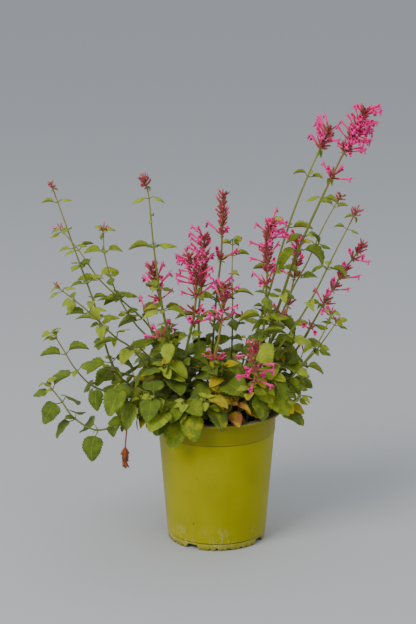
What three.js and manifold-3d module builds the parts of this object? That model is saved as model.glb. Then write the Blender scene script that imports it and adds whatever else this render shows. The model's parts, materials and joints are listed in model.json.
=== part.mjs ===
// Potted giant hyssop: a lime green nursery pot filled with compost, square leafy stems with
// toothed leaves in opposite pairs, and spikes of long pink tube flowers.
// Millimetres, +Z up. The origin is the middle of the pot's underside, and -Y is the front.
import * as THREE from 'three';
import { mergeVertices } from 'three/addons/utils/BufferGeometryUtils.js';
import Module from 'manifold-3d';

const wasm = await Module();
wasm.setup();

// Pot
const POT_SIDES = 30;
const POT_HEIGHT = 197;
const RIM_RADIUS = 95;
const LIP_DROP = 3.6;
const LIP_THICKNESS = 1.8;
const NECK_TOP_RADIUS = 86.4;
const NECK_FOOT_RADIUS = 85.4;
const NECK_FOOT_HEIGHT = 164;
const WALL_TOP_RADIUS = 84.6;
const WALL_FOOT_RADIUS = 72.4;
const WALL_FOOT_HEIGHT = 11.4;
const SKIRT_TOP_RADIUS = 71.4;
const SKIRT_FOOT_RADIUS = 70.9;
const WALL_THICKNESS = 1.7;
const FLOOR_UNDERSIDE = 8.6;
const FLOOR_TOP = 10.6;
const CENTRE_PAD_RADIUS = 12;
const DRAIN_SLOT_ANGLES = [-30, 60, 150, 240];
const DRAIN_SLOT_WIDTH = 23;
const DRAIN_SLOT_HEIGHT = 7;
const SCALLOPS = [[22, 6], [45, 10], [68, 6]];
const SCALLOP_HEIGHT = 2.6;

// Compost
const COMPOST_TOP = 179;
const COMPOST_RINGS = [44];
const COMPOST_SIDES = 18;
const COMPOST_LUMP = 1.5;
const STEM_START = 183;
const FITTING_GAP = 0.3;
const HOLE_GAP = 0.35;
const FOOT_DEPTH = 12;

// Stems, leaves and flowers
const BEND_ROOM = 12;
const LINE_STEPS = 10;
const JOINT_GAP = 0.3;
const LEAF_NODE_HALF = 1.6;
const WHORL_HALF = 1.6;
const LAYER_STEP = 4.6;
const BLADE_THICKNESS = 1.4;
const PETIOLE_RADIUS = 0.8;
const DROOPING_LEAF = 28;
const LEAST_TURN = 0.2;
const CALYX_LENGTH = 10.5;
const CALYX_RADIUS = 1.35;
const FLOWER_LENGTH = 25;
const TUBE_SHARE = 0.78;
const MOUTH_RADIUS = 2.1;

// Room kept between a blade or flower and what belongs to another
const CLEARANCE = 5;
const SAMPLE_STEP = 3.6;
const CELL = CLEARANCE;
const WHORL_CLEARANCE = 2.6;
const OWN_STEM_CLEARANCE = 2.6;
const SEED = 7;

const FINISHES = {
  pot: { color: 0x8f8a14, roughness: 0.45, metalness: 0 },
  compost: { color: 0x3a2a1e, roughness: 0.95, metalness: 0 },
  foliage: { color: 0x6f8226, roughness: 0.6, metalness: 0 },
  blossom: { color: 0xd23a78, roughness: 0.55, metalness: 0 },
  withered: { color: 0xb08a28, roughness: 0.8, metalness: 0 },
  dry: { color: 0x8a4a22, roughness: 0.8, metalness: 0 },
};

// Leaf forms: width against length, rise of the edges, bend of the rib in radians, wave of the
// edges, and the two powers of the outline.
const FORMS = {
  broad: { width: 0.86, fold: 0.16, bend: 0.5, wave: 0.05, near: 0.58, full: 0.66 },
  hanging: { width: 0.82, fold: 0.1, bend: 0.9, wave: 0.06, near: 0.6, full: 0.68 },
  ovate: { width: 0.66, fold: 0.3, bend: 0.6, wave: 0.04, near: 0.62, full: 0.8 },
  folded: { width: 0.5, fold: 0.7, bend: 1.0, wave: 0.03, near: 0.64, full: 0.86 },
  lance: { width: 0.36, fold: 0.6, bend: 0.8, wave: 0.02, near: 0.72, full: 1.0 },
  arched: { width: 0.42, fold: 0.6, bend: 1.7, wave: 0.02, near: 0.7, full: 0.95 },
};

// Toothed edges: place along the rib and share of the outline, crest and notch in turn
const EDGES = [
  {
    over: 41,
    rib: [0, 0.44],
    edge: [[0.03, 1.05], [0.14, 0.9], [0.27, 1.06], [0.39, 0.91], [0.53, 1.07], [0.65, 0.88], [0.79, 1.1]],
  },
  { over: 34, rib: [0, 0.44], edge: [[0.06, 1.04], [0.22, 0.9], [0.4, 1.08], [0.58, 0.88], [0.77, 1.12]] },
  { over: 27, rib: [0, 0.44], edge: [[0.08, 1.02], [0.3, 0.92], [0.52, 1.08], [0.77, 1.06]] },
  { over: 19, rib: [0], edge: [[0.12, 0.92], [0.42, 1.06], [0.74, 1.0]] },
  { over: 0, rib: [0], edge: [[0.2, 0.96], [0.64, 1.06]] },
];

// Every stem has its points from the compost to its tip, its thickness at both ends, and pairs
// of leaves as distance along the stem, leaf length, turn about the stem and form. A spike of
// flowers starts at a distance along the stem, and its whorls are distance, calyces and open
// flowers. A turn of 0 sets the pair to the left and right.
const spread = (first, last, count, calyces, flowers) => Array.from(
  { length: count },
  (_, i) => [first + (last - first) * i / (count - 1), calyces, flowers],
);
const STEMS = [
  {
    name: 'right_tall', thick: [3.8, 1.9],
    points: [
      [30, -2], [40, -5, 216], [62, -12, 286], [86, -18, 346], [114, -28, 435], [159, -36, 541],
      [197, -40, 622], [204, -40, 640],
    ],
    pairs: [
      [160, 30, 10, 'folded'], [202, 21, 90, 'folded'], [271, 34, 0, 'arched'], [294, 25, 40, 'arched'],
      [353, 13, 0, 'lance'],
    ],
    spike: {
      start: 376,
      whorls: [[386, 6, 4], [427, 6, 3], [444, 6, 4], [454, 6, 4], [464, 6, 4], [474, 6, 3], [484, 6, 1]],
    },
  },
  {
    name: 'right_tall_back', thick: [3.4, 1.6],
    points: [
      [22, 26], [30, 30, 214], [52, 40, 275], [78, 54, 360], [104, 68, 448], [132, 80, 521],
      [166, 90, 594],
    ],
    pairs: [
      [160, 28, 90, 'folded'], [215, 24, 20, 'folded'], [285, 24, 0, 'folded'], [364, 16, 0, 'lance'],
    ],
    spike: { start: 402, whorls: [[407, 6, 3], [417, 6, 3], [427, 6, 2], [437, 4, 0]] },
  },
  {
    name: 'right_bud', thick: [3, 1.2],
    points: [
      [40, 16], [52, 18, 220], [77, 24, 285], [109, 36, 361], [132, 44, 403], [154, 52, 452],
      [180, 60, 498],
    ],
    pairs: [[140, 28, 80, 'ovate'], [218, 22, 30, 'folded'], [271, 18, 0, 'lance'], [332, 10, 10, 'lance']],
    spike: { start: 341, whorls: [[344.4, 4, 0], [349.2, 4, 0]] },
  },
  {
    name: 'right_front_bud', thick: [3, 1.2],
    points: [
      [38, -22], [56, -26, 230], [87, -34, 292], [116, -46, 339], [140, -60, 388], [166, -76, 450],
      [191, -90, 506],
    ],
    pairs: [
      [95, 36, 80, 'broad'], [150, 28, 0, 'ovate'], [212, 22, 90, 'folded'], [271, 22, 0, 'arched'],
      [338, 9, 0, 'lance'],
    ],
    spike: { start: 346, whorls: [[351, 4, 0], [356, 4, 0], [361, 4, 0], [365.8, 4, 0]] },
  },
  {
    name: 'right_low', thick: [3.2, 1.4],
    points: [
      [50, 4], [66, 8, 208], [92, 18, 244], [123, 28, 285], [156, 38, 341], [185, 46, 388], [212, 50, 426],
    ],
    pairs: [[92, 34, 90, 'ovate'], [130, 26, 0, 'ovate'], [160, 21, 20, 'folded']],
    spike: {
      start: 190,
      whorls: [[197, 5, 2], [221, 5, 2], [241, 5, 2], [253, 5, 1], [274, 4, 3], [285, 5, 0], [294, 5, 0]],
    },
  },
  {
    name: 'right_thin_front', thick: [2.6, 1.2],
    points: [[56, -38], [86, -38, 226], [117, -42, 267], [136, -48, 294], [152, -56, 327], [161, -60, 354]],
    pairs: [[78, 26, 0, 'ovate'], [108, 22, 90, 'folded'], [146, 18, 0, 'folded'], [196, 11, 80, 'lance']],
  },
  {
    name: 'right_thin_back', thick: [2.6, 1.2],
    points: [[62, -8], [90, 0, 218], [121, 10, 252], [146, 16, 279], [175, 20, 320]],
    pairs: [[70, 26, 90, 'ovate'], [104, 22, 0, 'folded'], [138, 16, 90, 'folded'], [176, 11, 0, 'lance']],
  },
  {
    name: 'centre_left_back', thick: [3.4, 2],
    points: [[-10, 8], [-22, 6, 237], [-26, 8, 322], [-23, 14, 368], [-20, 18, 408], [-17, 20, 446]],
    pairs: [[115, 30, 90, 'ovate'], [150, 24, 20, 'folded'], [180, 17, 90, 'folded']],
    spike: { start: 188, whorls: spread(195, 262, 7, 5, 1) },
  },
  {
    name: 'centre_left_front', thick: [3.4, 2],
    points: [
      [-20, -14], [-36, -20, 230], [-44, -24, 280], [-35, -28, 328], [-29, -34, 375], [-31, -38, 407],
      [-39, -40, 430],
    ],
    pairs: [[100, 28, 0, 'ovate'], [136, 20, 60, 'folded']],
    spike: { start: 146, whorls: [[154, 4, 3], [170, 5, 2], [197, 4, 3], ...spread(214, 252, 4, 6, 3)] },
  },
  {
    name: 'centre_red', thick: [3.2, 1.4],
    points: [[4, 20], [-6, 30, 240], [-4, 38, 303], [1, 46, 360], [6, 54, 402], [8, 62, 438], [9, 72, 506]],
    pairs: [[130, 26, 90, 'folded'], [168, 18, 0, 'folded']],
    spike: {
      start: 176,
      whorls: [
        [184, 5, 1], [227, 5, 2], [240, 5, 1], [251, 5, 2], [264, 5, 2], ...spread(276, 326, 6, 5, 0),
      ],
    },
  },
  {
    name: 'centre_thin', thick: [2.4, 1.1],
    points: [[16, 44], [22, 62, 250], [24, 86, 328], [23, 108, 365], [24, 122, 393], [24, 130, 415]],
    pairs: [
      [130, 26, 90, 'folded'], [170, 22, 0, 'folded'], [202, 17, 90, 'folded'], [230, 13, 0, 'lance'],
      [246, 13, 60, 'lance'],
    ],
  },
  {
    name: 'centre_low', thick: [3, 1.8],
    points: [[0, -34], [-4, -46, 240], [-3, -54, 287], [3, -64, 319], [8, -76, 360], [12, -85, 401]],
    pairs: [[58, 34, 20, 'broad'], [88, 28, 90, 'ovate']],
    spike: {
      start: 98,
      whorls: [[106, 4, 3], [170, 4, 3], [187, 4, 3], [200, 5, 1], [211, 5, 2], [221, 5, 0]],
    },
  },
  {
    name: 'front_cluster', thick: [3, 1.8],
    points: [[22, -42], [34, -60, 212], [46, -82, 242], [53, -93, 270], [51, -96, 318]],
    pairs: [[44, 32, 0, 'broad'], [84, 22, 90, 'ovate']],
    spike: { start: 98, whorls: [[106, 4, 4], [118, 4, 3], [130, 5, 2], [142, 5, 1], [151, 5, 0]] },
  },
  {
    name: 'centre_right', thick: [3.4, 1.8],
    points: [
      [24, -18], [44, -26, 240], [65, -30, 314], [70, -33, 378], [71, -36, 414], [71, -37, 449],
      [76, -38, 478],
    ],
    pairs: [
      [80, 36, 10, 'broad'], [126, 40, 80, 'hanging'], [166, 26, 0, 'folded'], [198, 20, 90, 'folded'],
    ],
    spike: { start: 208, whorls: [[216, 4, 3], [234, 5, 0], ...spread(248, 299, 6, 6, 2)] },
  },
  {
    name: 'right_behind', thick: [3, 1.6],
    points: [[36, 40], [60, 44, 240], [98, 42, 319], [104, 46, 337], [116, 60, 392], [117, 70, 433]],
    pairs: [[100, 28, 0, 'folded'], [128, 22, 90, 'folded']],
    spike: {
      start: 140,
      whorls: [[147, 5, 0], [173, 5, 0], [214, 5, 1], [231, 5, 1], [243, 5, 1], [255, 5, 2], [265, 5, 1]],
    },
  },
  {
    name: 'left_tall_bud', thick: [3.2, 1.3],
    points: [
      [-30, -24], [-42, -26, 226], [-60, -32, 274], [-76, -44, 353], [-88, -56, 446], [-94, -66, 519],
      [-100, -72, 549],
    ],
    pairs: [
      [130, 30, 80, 'ovate'], [180, 24, 0, 'folded'], [212, 22, 80, 'folded'], [276, 25, 0, 'lance'],
      [318, 10, 80, 'lance'], [349, 13, 0, 'lance'],
    ],
    spike: { start: 359, whorls: [[364, 4, 0], [369, 4, 0], [374, 4, 0], [379, 4, 0]] },
  },
  {
    name: 'left_pink', thick: [2.8, 1.5],
    points: [[-34, 0], [-48, 2, 240], [-70, -4, 308], [-81, -12, 360], [-88, -16, 387], [-92, -20, 413]],
    pairs: [[110, 28, 0, 'ovate'], [146, 22, 90, 'folded'], [172, 17, 0, 'folded']],
    spike: { start: 181, whorls: [[188, 4, 3], [206, 5, 2], [216, 5, 2], [226, 5, 1], [235, 5, 0]] },
  },
  {
    name: 'far_left_tall', thick: [3, 1.2],
    points: [
      [-52, 10], [-84, 4, 206], [-128, -6, 231], [-150, -8, 262], [-162, -8, 300], [-176, -8, 356],
      [-201, -8, 430], [-219, -8, 485], [-234, -10, 530],
    ],
    pairs: [
      [138, 32, 0, 'ovate'], [172, 28, 90, 'ovate'], [204, 22, 0, 'folded'], [232, 20, 80, 'folded'],
      [260, 16, 0, 'folded'], [288, 18, 80, 'folded'], [314, 14, 0, 'folded'], [340, 15, 80, 'ovate'],
      [384, 15, 0, 'lance'],
    ],
    spike: { start: 391, whorls: [[396, 4, 0], [401, 4, 0], [406, 4, 0], [411, 4, 0]] },
  },
  {
    name: 'left_back', thick: [2.8, 1.1],
    points: [
      [-44, 28], [-66, 38, 250], [-100, 48, 306], [-134, 58, 337], [-171, 66, 370], [-201, 76, 411],
      [-229, 82, 444],
    ],
    pairs: [
      [115, 30, 90, 'ovate'], [155, 26, 0, 'folded'], [195, 25, 80, 'folded'], [240, 22, 0, 'folded'],
      [266, 16, 80, 'folded'], [292, 16, 0, 'folded'], [328, 11, 40, 'lance'],
    ],
  },
  {
    name: 'left_middle', thick: [2.8, 1.1],
    points: [
      [-40, 14], [-70, 22, 262], [-116, 24, 312], [-140, 28, 350], [-152, 32, 378], [-162, 38, 417],
      [-163, 40, 452],
    ],
    pairs: [
      [125, 28, 0, 'ovate'], [176, 26, 80, 'ovate'], [206, 22, 0, 'folded'], [234, 20, 90, 'folded'],
      [274, 20, 10, 'folded'], [302, 11, 80, 'lance'],
    ],
  },
  {
    name: 'left_front', thick: [2.8, 1.1],
    points: [
      [-40, -30], [-74, -38, 236], [-119, -48, 296], [-143, -60, 318], [-179, -76, 359], [-197, -84, 377],
      [-221, -90, 398],
    ],
    pairs: [
      [105, 32, 0, 'ovate'], [142, 30, 80, 'ovate'], [176, 26, 0, 'ovate'], [206, 24, 90, 'folded'],
      [234, 21, 0, 'folded'], [261, 20, 80, 'folded'], [284, 12, 0, 'lance'],
    ],
  },
  {
    name: 'left_low', thick: [2.6, 1.1],
    points: [
      [-58, -14], [-78, -19, 204], [-100, -25, 211], [-130, -30, 222], [-162, -36, 232], [-182, -42, 244],
      [-202, -50, 270], [-215, -56, 295], [-231, -60, 325],
    ],
    pairs: [
      [92, 32, 80, 'ovate'], [135, 32, 90, 'ovate'], [175, 28, 0, 'ovate'], [207, 24, 0, 'folded'],
      [234, 15, 80, 'ovate'],
    ],
  },
  {
    name: 'left_trailing', thick: [2.8, 1.3],
    points: [
      [-48, -40], [-66, -49, 205], [-86, -57, 209], [-110, -63, 205], [-135, -66, 193], [-171, -71, 184],
      [-203, -74, 204], [-221, -75, 231], [-240, -76, 256],
    ],
    pairs: [
      [118, 28, 80, 'ovate'], [145, 38, 60, 'hanging'], [182, 30, 20, 'broad'], [213, 34, 40, 'broad'],
      [236, 22, 10, 'ovate'],
    ],
  },
];

// Short leafy shoots of the low bush, with two or three pairs of leaves each at even shares of
// the length, as leaf length, turn and form
const SHOOT_THICK = [3, 1.6];
const SHOOT_SHARES = [0.42, 0.69, 0.94];
const SHOOTS = [
  {
    name: 'bush_left_back',
    points: [[-56, 34], [-78, 36, 206], [-110, 36, 227], [-160, 34, 244]],
    pairs: [[40, 90, 'broad'], [38, 20, 'broad'], [32, 80, 'ovate']],
  },
  {
    name: 'bush_left_front',
    points: [[-42, -50], [-58, -61, 202], [-76, -68, 211], [-104, -74, 228], [-138, -72, 252]],
    pairs: [[40, 80, 'broad'], [42, 20, 'hanging'], [42, 70, 'hanging']],
  },
  {
    name: 'bush_back_left',
    points: [[-36, 50], [-66, 56, 220], [-113, 62, 268]],
    pairs: [[40, 0, 'broad'], [36, 90, 'broad']],
  },
  {
    name: 'bush_front_left',
    points: [[-32, -56], [-43, -69, 202], [-54, -79, 211], [-74, -86, 226], [-94, -92, 240]],
    pairs: [[42, 70, 'broad'], [44, 10, 'hanging'], [36, 70, 'broad']],
  },
  {
    name: 'bush_middle_left',
    points: [[-56, -30], [-62, -24, 220], [-70, -24, 244], [-74, -50, 272]],
    pairs: [[42, 20, 'broad'], [40, 90, 'broad'], [32, 20, 'ovate']],
  },
  {
    name: 'bush_front',
    points: [[-22, -60], [-27, -74, 203], [-34, -87, 213], [-46, -98, 232]],
    pairs: [[42, 20, 'hanging'], [40, 80, 'hanging'], [30, 10, 'broad']],
  },
  {
    name: 'bush_front_centre',
    points: [[-4, -58], [-10, -82, 211], [-17, -100, 238]],
    pairs: [[40, 10, 'hanging'], [38, 80, 'hanging'], [30, 0, 'broad']],
  },
  {
    name: 'bush_centre',
    points: [[10, -22], [8, -42, 230], [7, -58, 276]],
    pairs: [[40, 80, 'broad'], [44, 0, 'broad'], [34, 80, 'broad']],
  },
  {
    name: 'bush_front_right',
    points: [[42, -50], [48, -56, 224], [62, -66, 262]],
    pairs: [[40, 20, 'hanging'], [42, 80, 'hanging'], [32, 10, 'broad']],
  },
  {
    name: 'bush_middle_right',
    points: [[54, -48], [64, -50, 222], [78, -60, 262]],
    pairs: [[40, 80, 'broad'], [42, 10, 'broad'], [32, 80, 'ovate']],
  },
  {
    name: 'bush_right',
    points: [[58, 26], [76, 36, 226], [100, 40, 274]],
    pairs: [[40, 0, 'broad'], [36, 90, 'broad'], [30, 10, 'ovate']],
  },
  {
    name: 'bush_right_low',
    points: [[62, 36], [73, 42, 204], [88, 51, 211], [108, 56, 216], [128, 56, 222]],
    pairs: [[32, 90, 'broad'], [30, 10, 'ovate'], [26, 80, 'ovate']],
  },
  {
    name: 'bush_right_front',
    points: [[66, -20], [79, -30, 203], [94, -44, 210], [116, -58, 228]],
    pairs: [[34, 80, 'broad'], [32, 0, 'ovate'], [26, 80, 'ovate']],
  },
  {
    name: 'bush_back',
    points: [[-10, 66], [-14, 88, 215], [-24, 104, 266]],
    pairs: [[42, 0, 'hanging'], [40, 90, 'broad'], [32, 0, 'ovate']],
  },
  {
    name: 'bush_back_right',
    points: [[28, 62], [32, 76, 203], [37, 92, 220], [46, 112, 268]],
    pairs: [[42, 90, 'hanging'], [38, 0, 'broad']],
  },
  {
    name: 'bush_far_back_left',
    points: [[-50, 46], [-62, 58, 204], [-84, 77, 217], [-112, 96, 250]],
    pairs: [[40, 90, 'broad'], [38, 0, 'broad']],
  },
  {
    name: 'bush_far_back_right',
    points: [[48, 50], [60, 62, 204], [80, 77, 219], [104, 92, 260]],
    pairs: [[40, 20, 'broad'], [36, 90, 'broad']],
  },
];

// A withered shoot low in the pot, with yellow and brown leaves
const WITHERED_SHOOT = {
  name: 'withered',
  points: [[12, -62], [15, -66, 200], [22, -72, 224]],
  pairs: [[30, 10, 'folded'], [30, 80, 'ovate'], [22, 20, 'folded']],
};

// A dry flower stalk that hangs from the trailing stem at a distance along it, as offsets from
// that place, with a dry head near its end
const DRY_STALK = {
  name: 'dry_stalk', thick: [1.8, 1.3], hangsFrom: 'left_trailing', distance: 101,
  offsets: [[0, 0, -1.1], [-1, 0, -16], [-3, -1, -40], [-3, -1, -66]],
  spike: { start: 4, whorls: [[43, 4, 0], [48, 4, 0], [53, 4, 0], [58, 4, 0], [63, 3, 0]] },
};

// A point or direction is a list of three numbers
const add = (a, b) => [a[0] + b[0], a[1] + b[1], a[2] + b[2]];
const scale = (a, k) => [a[0] * k, a[1] * k, a[2] * k];
const mix = (a, b, t) => add(scale(a, 1 - t), scale(b, t));
const dot = (a, b) => a[0] * b[0] + a[1] * b[1] + a[2] * b[2];
const cross = (a, b) => [a[1] * b[2] - a[2] * b[1], a[2] * b[0] - a[0] * b[2], a[0] * b[1] - a[1] * b[0]];
const length = (a) => Math.sqrt(dot(a, a));
const unit = (a) => scale(a, 1 / length(a));
const radians = (degrees) => degrees * Math.PI / 180;
const clamp = (value, low, high) => Math.min(high, Math.max(low, value));

// From the middle of a square stem to its corners
function stemRadius(stem, distance) {
  const [foot, tip] = stem.thick;
  return 0.6 * (foot + (tip - foot) * distance / stem.line.length);
}

// Seeded draws from 0 to 1
function draws(seed) {
  let state = seed;
  return () => {
    state = (Math.imul(state, 1664525) + 1013904223) >>> 0;
    return state / 4294967296;
  };
}

// A smooth line through points, with the distance from the compost at each of its short steps
function makeLine(points) {
  const knots = points.map((p) => new THREE.Vector3(...p));
  const curve = new THREE.CatmullRomCurve3(knots, false, 'catmullrom', 0.5);
  const places = curve.getPoints(LINE_STEPS * (points.length - 1)).map((p) => p.toArray());
  const run = [STEM_START - COMPOST_TOP];
  for (let i = 1; i < places.length; i += 1) {
    run.push(run[i - 1] + length(add(places[i], scale(places[i - 1], -1))));
  }
  const bends = points.map((_, i) => run[i * LINE_STEPS]);
  return { places, run, bends, length: run[run.length - 1] };
}

function pointAt(line, distance) {
  const d = clamp(distance, line.run[0], line.length);
  let i = 1;
  while (i < line.run.length - 1 && line.run[i] < d) i += 1;
  const t = (d - line.run[i - 1]) / (line.run[i] - line.run[i - 1]);
  return mix(line.places[i - 1], line.places[i], t);
}

// Direction of the line, its right-hand side and its far side at a distance
function axesAt(line, distance) {
  const reach = 3;
  const ahead = pointAt(line, distance + reach);
  const behind = pointAt(line, distance - reach);
  const along = unit(add(ahead, scale(behind, -1)));
  const side = unit(cross([0, 1, 0], along));
  return { along, side, far: cross(along, side) };
}

// Axes of a leaf or flower from its heading, slope and roll, in radians
function turnedAxes(heading, slope, roll) {
  const x = [Math.cos(heading) * Math.cos(slope), Math.sin(heading) * Math.cos(slope), Math.sin(slope)];
  const y = [-Math.sin(heading), Math.cos(heading), 0];
  const z = cross(x, y);
  return {
    x,
    y: add(scale(y, Math.cos(roll)), scale(z, Math.sin(roll))),
    z: add(scale(z, Math.cos(roll)), scale(y, -Math.sin(roll))),
  };
}

// A point given in an item's own axes
function placed({ base, axes }, p) {
  return add(base, add(add(scale(axes.x, p[0]), scale(axes.y, p[1])), scale(axes.z, p[2])));
}

// Half the width of a leaf of width 1 at a share t of its length
function halfWidth(form, t) {
  return 0.5 * Math.sin(Math.PI * clamp(t, 0, 1) ** form.near) ** form.full;
}

// A point of the leaf's face: t along the rib, s from -1 to 1 across, in the leaf's own axes
function leafPoint(leaf, t, s) {
  const { form } = leaf;
  const half = halfWidth(form, t) * Math.abs(s);
  const bend = form.bend * t;
  const lift = form.fold * half + form.wave * Math.sin(14 * t + Math.sign(s)) * Math.abs(s);
  return [
    leaf.length * (Math.sin(bend) / form.bend + lift * Math.sin(bend)),
    leaf.length * form.width * half * Math.sign(s),
    leaf.length * (lift * Math.cos(bend) - (1 - Math.cos(bend)) / form.bend),
  ];
}

// Places already taken, in cells, with the stem that each belongs to and what it is
const taken = new Map();
const cellOf = (p) => p.map((c) => Math.floor(c / CELL));

function take(points, owner, kind) {
  for (const p of points) {
    const key = cellOf(p).join();
    if (!taken.has(key)) taken.set(key, []);
    taken.get(key).push({ p, owner, kind });
  }
}

function clearOfPot(p) {
  const radius = Math.hypot(p[0], p[1]);
  const overRim = radius < 99.5 && radius > 80;
  return overRim ? p[2] > POT_HEIGHT + 4 : p[2] > (radius > 90 ? 20 : COMPOST_TOP + 6);
}

// Room that a leaf, flower or calyx keeps to another thing. It stands closer to its own stem,
// and a flower or calyx to the others of its spike.
function roomTo(other, owner, kind) {
  if (other.owner !== owner || (kind === 'leaf' && other.kind !== 'stem')) return CLEARANCE;
  if (other.kind !== 'stem') return WHORL_CLEARANCE;
  return kind === 'leaf' ? OWN_STEM_CLEARANCE : 0;
}

function isFree(points, owner, kind) {
  const near = [-1, 0, 1];
  return points.every((p) => clearOfPot(p) && near.every((i) => near.every((j) => near.every((k) => {
    const cell = cellOf(p);
    const others = taken.get([cell[0] + i, cell[1] + j, cell[2] + k].join()) ?? [];
    return others.every((other) => length(add(p, scale(other.p, -1))) >= roomTo(other, owner, kind));
  }))));
}

function leafSamples(leaf) {
  const rows = Math.ceil(leaf.length / SAMPLE_STEP);
  const across = Math.ceil(leaf.length * leaf.form.width / SAMPLE_STEP);
  const points = [mix(leaf.root, leaf.base, 0.6), leaf.base];
  for (let i = 1; i <= rows; i += 1) {
    const t = i / rows;
    const columns = Math.max(1, Math.round(across * 2 * halfWidth(leaf.form, t - 0.5 / rows)));
    for (let j = 0; j <= columns; j += 1) {
      points.push(placed(leaf, leafPoint(leaf, t, 2 * j / columns - 1)));
    }
  }
  return points;
}

// One leaf of a pair: it stands out from the stem and levels off, and turns, tips or shrinks
// where it would meet something else
const TURNS = [0, 16, -16, 32, -32, 48, -48];
const TIPS = [0, 14, -16, 30];
const SHRINKS = [1, 0.84, 0.7];
function placeLeaf(stem, distance, blade, turn, formName, random) {
  const form = FORMS[formName];
  const root = pointAt(stem.line, distance);
  const { along, side, far } = axesAt(stem.line, distance);
  const rise = radians(14 + 22 * random());
  const droop = (blade > DROOPING_LEAF ? -34 : 2) + 26 * (random() - 0.5);
  const roll = radians(36 * (random() - 0.5));
  for (const shrink of SHRINKS) {
    for (const tip of TIPS) {
      for (const shift of TURNS) {
        const angle = radians(turn + shift);
        const out = add(scale(side, Math.cos(angle)), scale(far, Math.sin(angle)));
        const petiole = add(scale(out, Math.cos(rise)), scale(along, Math.sin(rise)));
        const size = blade * shrink;
        const heading = Math.atan2(petiole[1], petiole[0]);
        const slope = 0.4 * Math.asin(clamp(petiole[2], -1, 1)) + radians(droop + tip);
        const leaf = {
          form, length: size, root, base: add(root, scale(petiole, 3 + 0.22 * size)),
          axes: turnedAxes(heading, slope, roll),
        };
        const samples = leafSamples(leaf);
        if (dot(leaf.axes.x, petiole) > LEAST_TURN && isFree(samples, stem.name, 'leaf')) {
          take(samples, stem.name, 'leaf');
          return leaf;
        }
      }
    }
  }
  return null;
}

// A calyx or flower on the spike, out from the stem's axis by an angle
function placeOnSpike(stem, distance, turn, spreadAngle, reach, kind) {
  const { along, side, far } = axesAt(stem.line, distance);
  const out = add(scale(side, Math.cos(turn)), scale(far, Math.sin(turn)));
  const direction = add(scale(along, Math.cos(spreadAngle)), scale(out, Math.sin(spreadAngle)));
  const item = {
    kind, length: reach,
    base: add(pointAt(stem.line, distance), scale(out, 0.7 * stemRadius(stem, distance))),
    axes: turnedAxes(Math.atan2(direction[1], direction[0]), Math.asin(clamp(direction[2], -1, 1)), 0),
  };
  const samples = [];
  for (let d = 3; d <= reach; d += 3) samples.push(placed(item, [d, 0, 0]));
  if (kind === 'flower') samples.push(placed(item, [reach - 1, 0, -4]));
  if (!isFree(samples, stem.name, kind)) return null;
  take(samples, stem.name, kind);
  return item;
}

// A whorl has four places, one on each side of the spike. A crowded whorl has a second layer of
// calyces just above, and each layer stands between the places of the one below.
function growSpike(stem, random) {
  const spikeLength = stem.line.length - stem.spike.start;
  const layers = stem.spike.whorls.flatMap(([distance, count, flowers]) => [
    { distance, count: Math.min(count, 4), flowers },
    { distance: distance + LAYER_STEP, count: count - 4, flowers: 0 },
  ]).filter(({ distance, count }) => count > 0 && distance < stem.line.length - WHORL_HALF);
  let offset = 90 * random();
  stem.whorls = layers.map(({ distance, count, flowers }) => {
    const taper = 1 - 0.25 * Math.max(0, (distance - stem.spike.start) / spikeLength - 0.5);
    const first = Math.floor(4 * random());
    offset += 45 + 12 * (random() - 0.5);
    const places = [0, 1, 2, 3].map((quarter) => {
      const order = (quarter + first) % 4;
      const turn = radians(offset + 90 + 90 * quarter + 16 * (random() - 0.5));
      const bloomReach = FLOWER_LENGTH * taper * (0.86 + 0.28 * random());
      const budReach = CALYX_LENGTH * taper * (0.85 + 0.3 * random());
      const wide = radians(42 + 28 * random());
      const steep = radians(26 + 16 * random());
      if (order < flowers) return placeOnSpike(stem, distance, turn, wide, bloomReach, 'flower');
      if (order < count) return placeOnSpike(stem, distance, turn, steep, budReach, 'calyx');
      return null;
    });
    return { distance, offset, places };
  });
}

// A body under construction: its points, and its corners in triples that turn outwards
class Body {
  points = [];

  corners = [];

  add(points) {
    return points.map((p) => this.points.push(p) - 1);
  }

  // Sides from one loop to the next, starting where the two lie nearest
  bridge(from, to) {
    const n = from.length;
    const gap = (shift) => from.reduce((sum, k, i) => {
      const between = add(this.points[k], scale(this.points[to[(i + shift) % n]], -1));
      return sum + dot(between, between);
    }, 0);
    let best = 0;
    for (let shift = 1; shift < n; shift += 1) if (gap(shift) < gap(best)) best = shift;
    for (let i = 0; i < n; i += 1) {
      const next = (i + 1) % n;
      const a = to[(i + best) % n];
      const b = to[(next + best) % n];
      this.corners.push([from[i], from[next], b], [from[i], b, a]);
    }
  }

  // Sides from a loop to one of another length, with the steps on both spread evenly
  funnel(from, to) {
    const gap = (j) => length(add(this.points[from[0]], scale(this.points[to[j]], -1)));
    let start = 0;
    for (let j = 1; j < to.length; j += 1) if (gap(j) < gap(start)) start = j;
    let i = 0;
    let j = 0;
    while (i < from.length || j < to.length) {
      const [a, b] = [from[i % from.length], to[(start + j) % to.length]];
      if ((i + 0.5) / from.length < (j + 0.5) / to.length) {
        i += 1;
        this.corners.push([a, from[i % from.length], b]);
      } else {
        j += 1;
        this.corners.push([a, to[(start + j) % to.length], b]);
      }
    }
  }

  cap(loop) {
    for (let i = 1; i < loop.length - 1; i += 1) this.corners.push([loop[0], loop[i], loop[i + 1]]);
  }

  solid() {
    return solidOf(this.points, this.corners);
  }
}

// Solids from a list of points and a list of corner triples
function solidOf(points, corners) {
  return new wasm.Manifold(new wasm.Mesh({
    numProp: 3,
    vertProperties: new Float32Array(points.flat()),
    triVerts: new Uint32Array(corners.flat()),
  }));
}

// The square section of a stem, with a flat side facing an angle about its axis
function squareRing(centre, side, far, radius, degrees) {
  return [0, 1, 2, 3].map((quarter) => {
    const angle = radians(degrees + 45 + 90 * quarter);
    return add(centre, add(scale(side, radius * Math.cos(angle)), scale(far, radius * Math.sin(angle))));
  });
}

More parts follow.
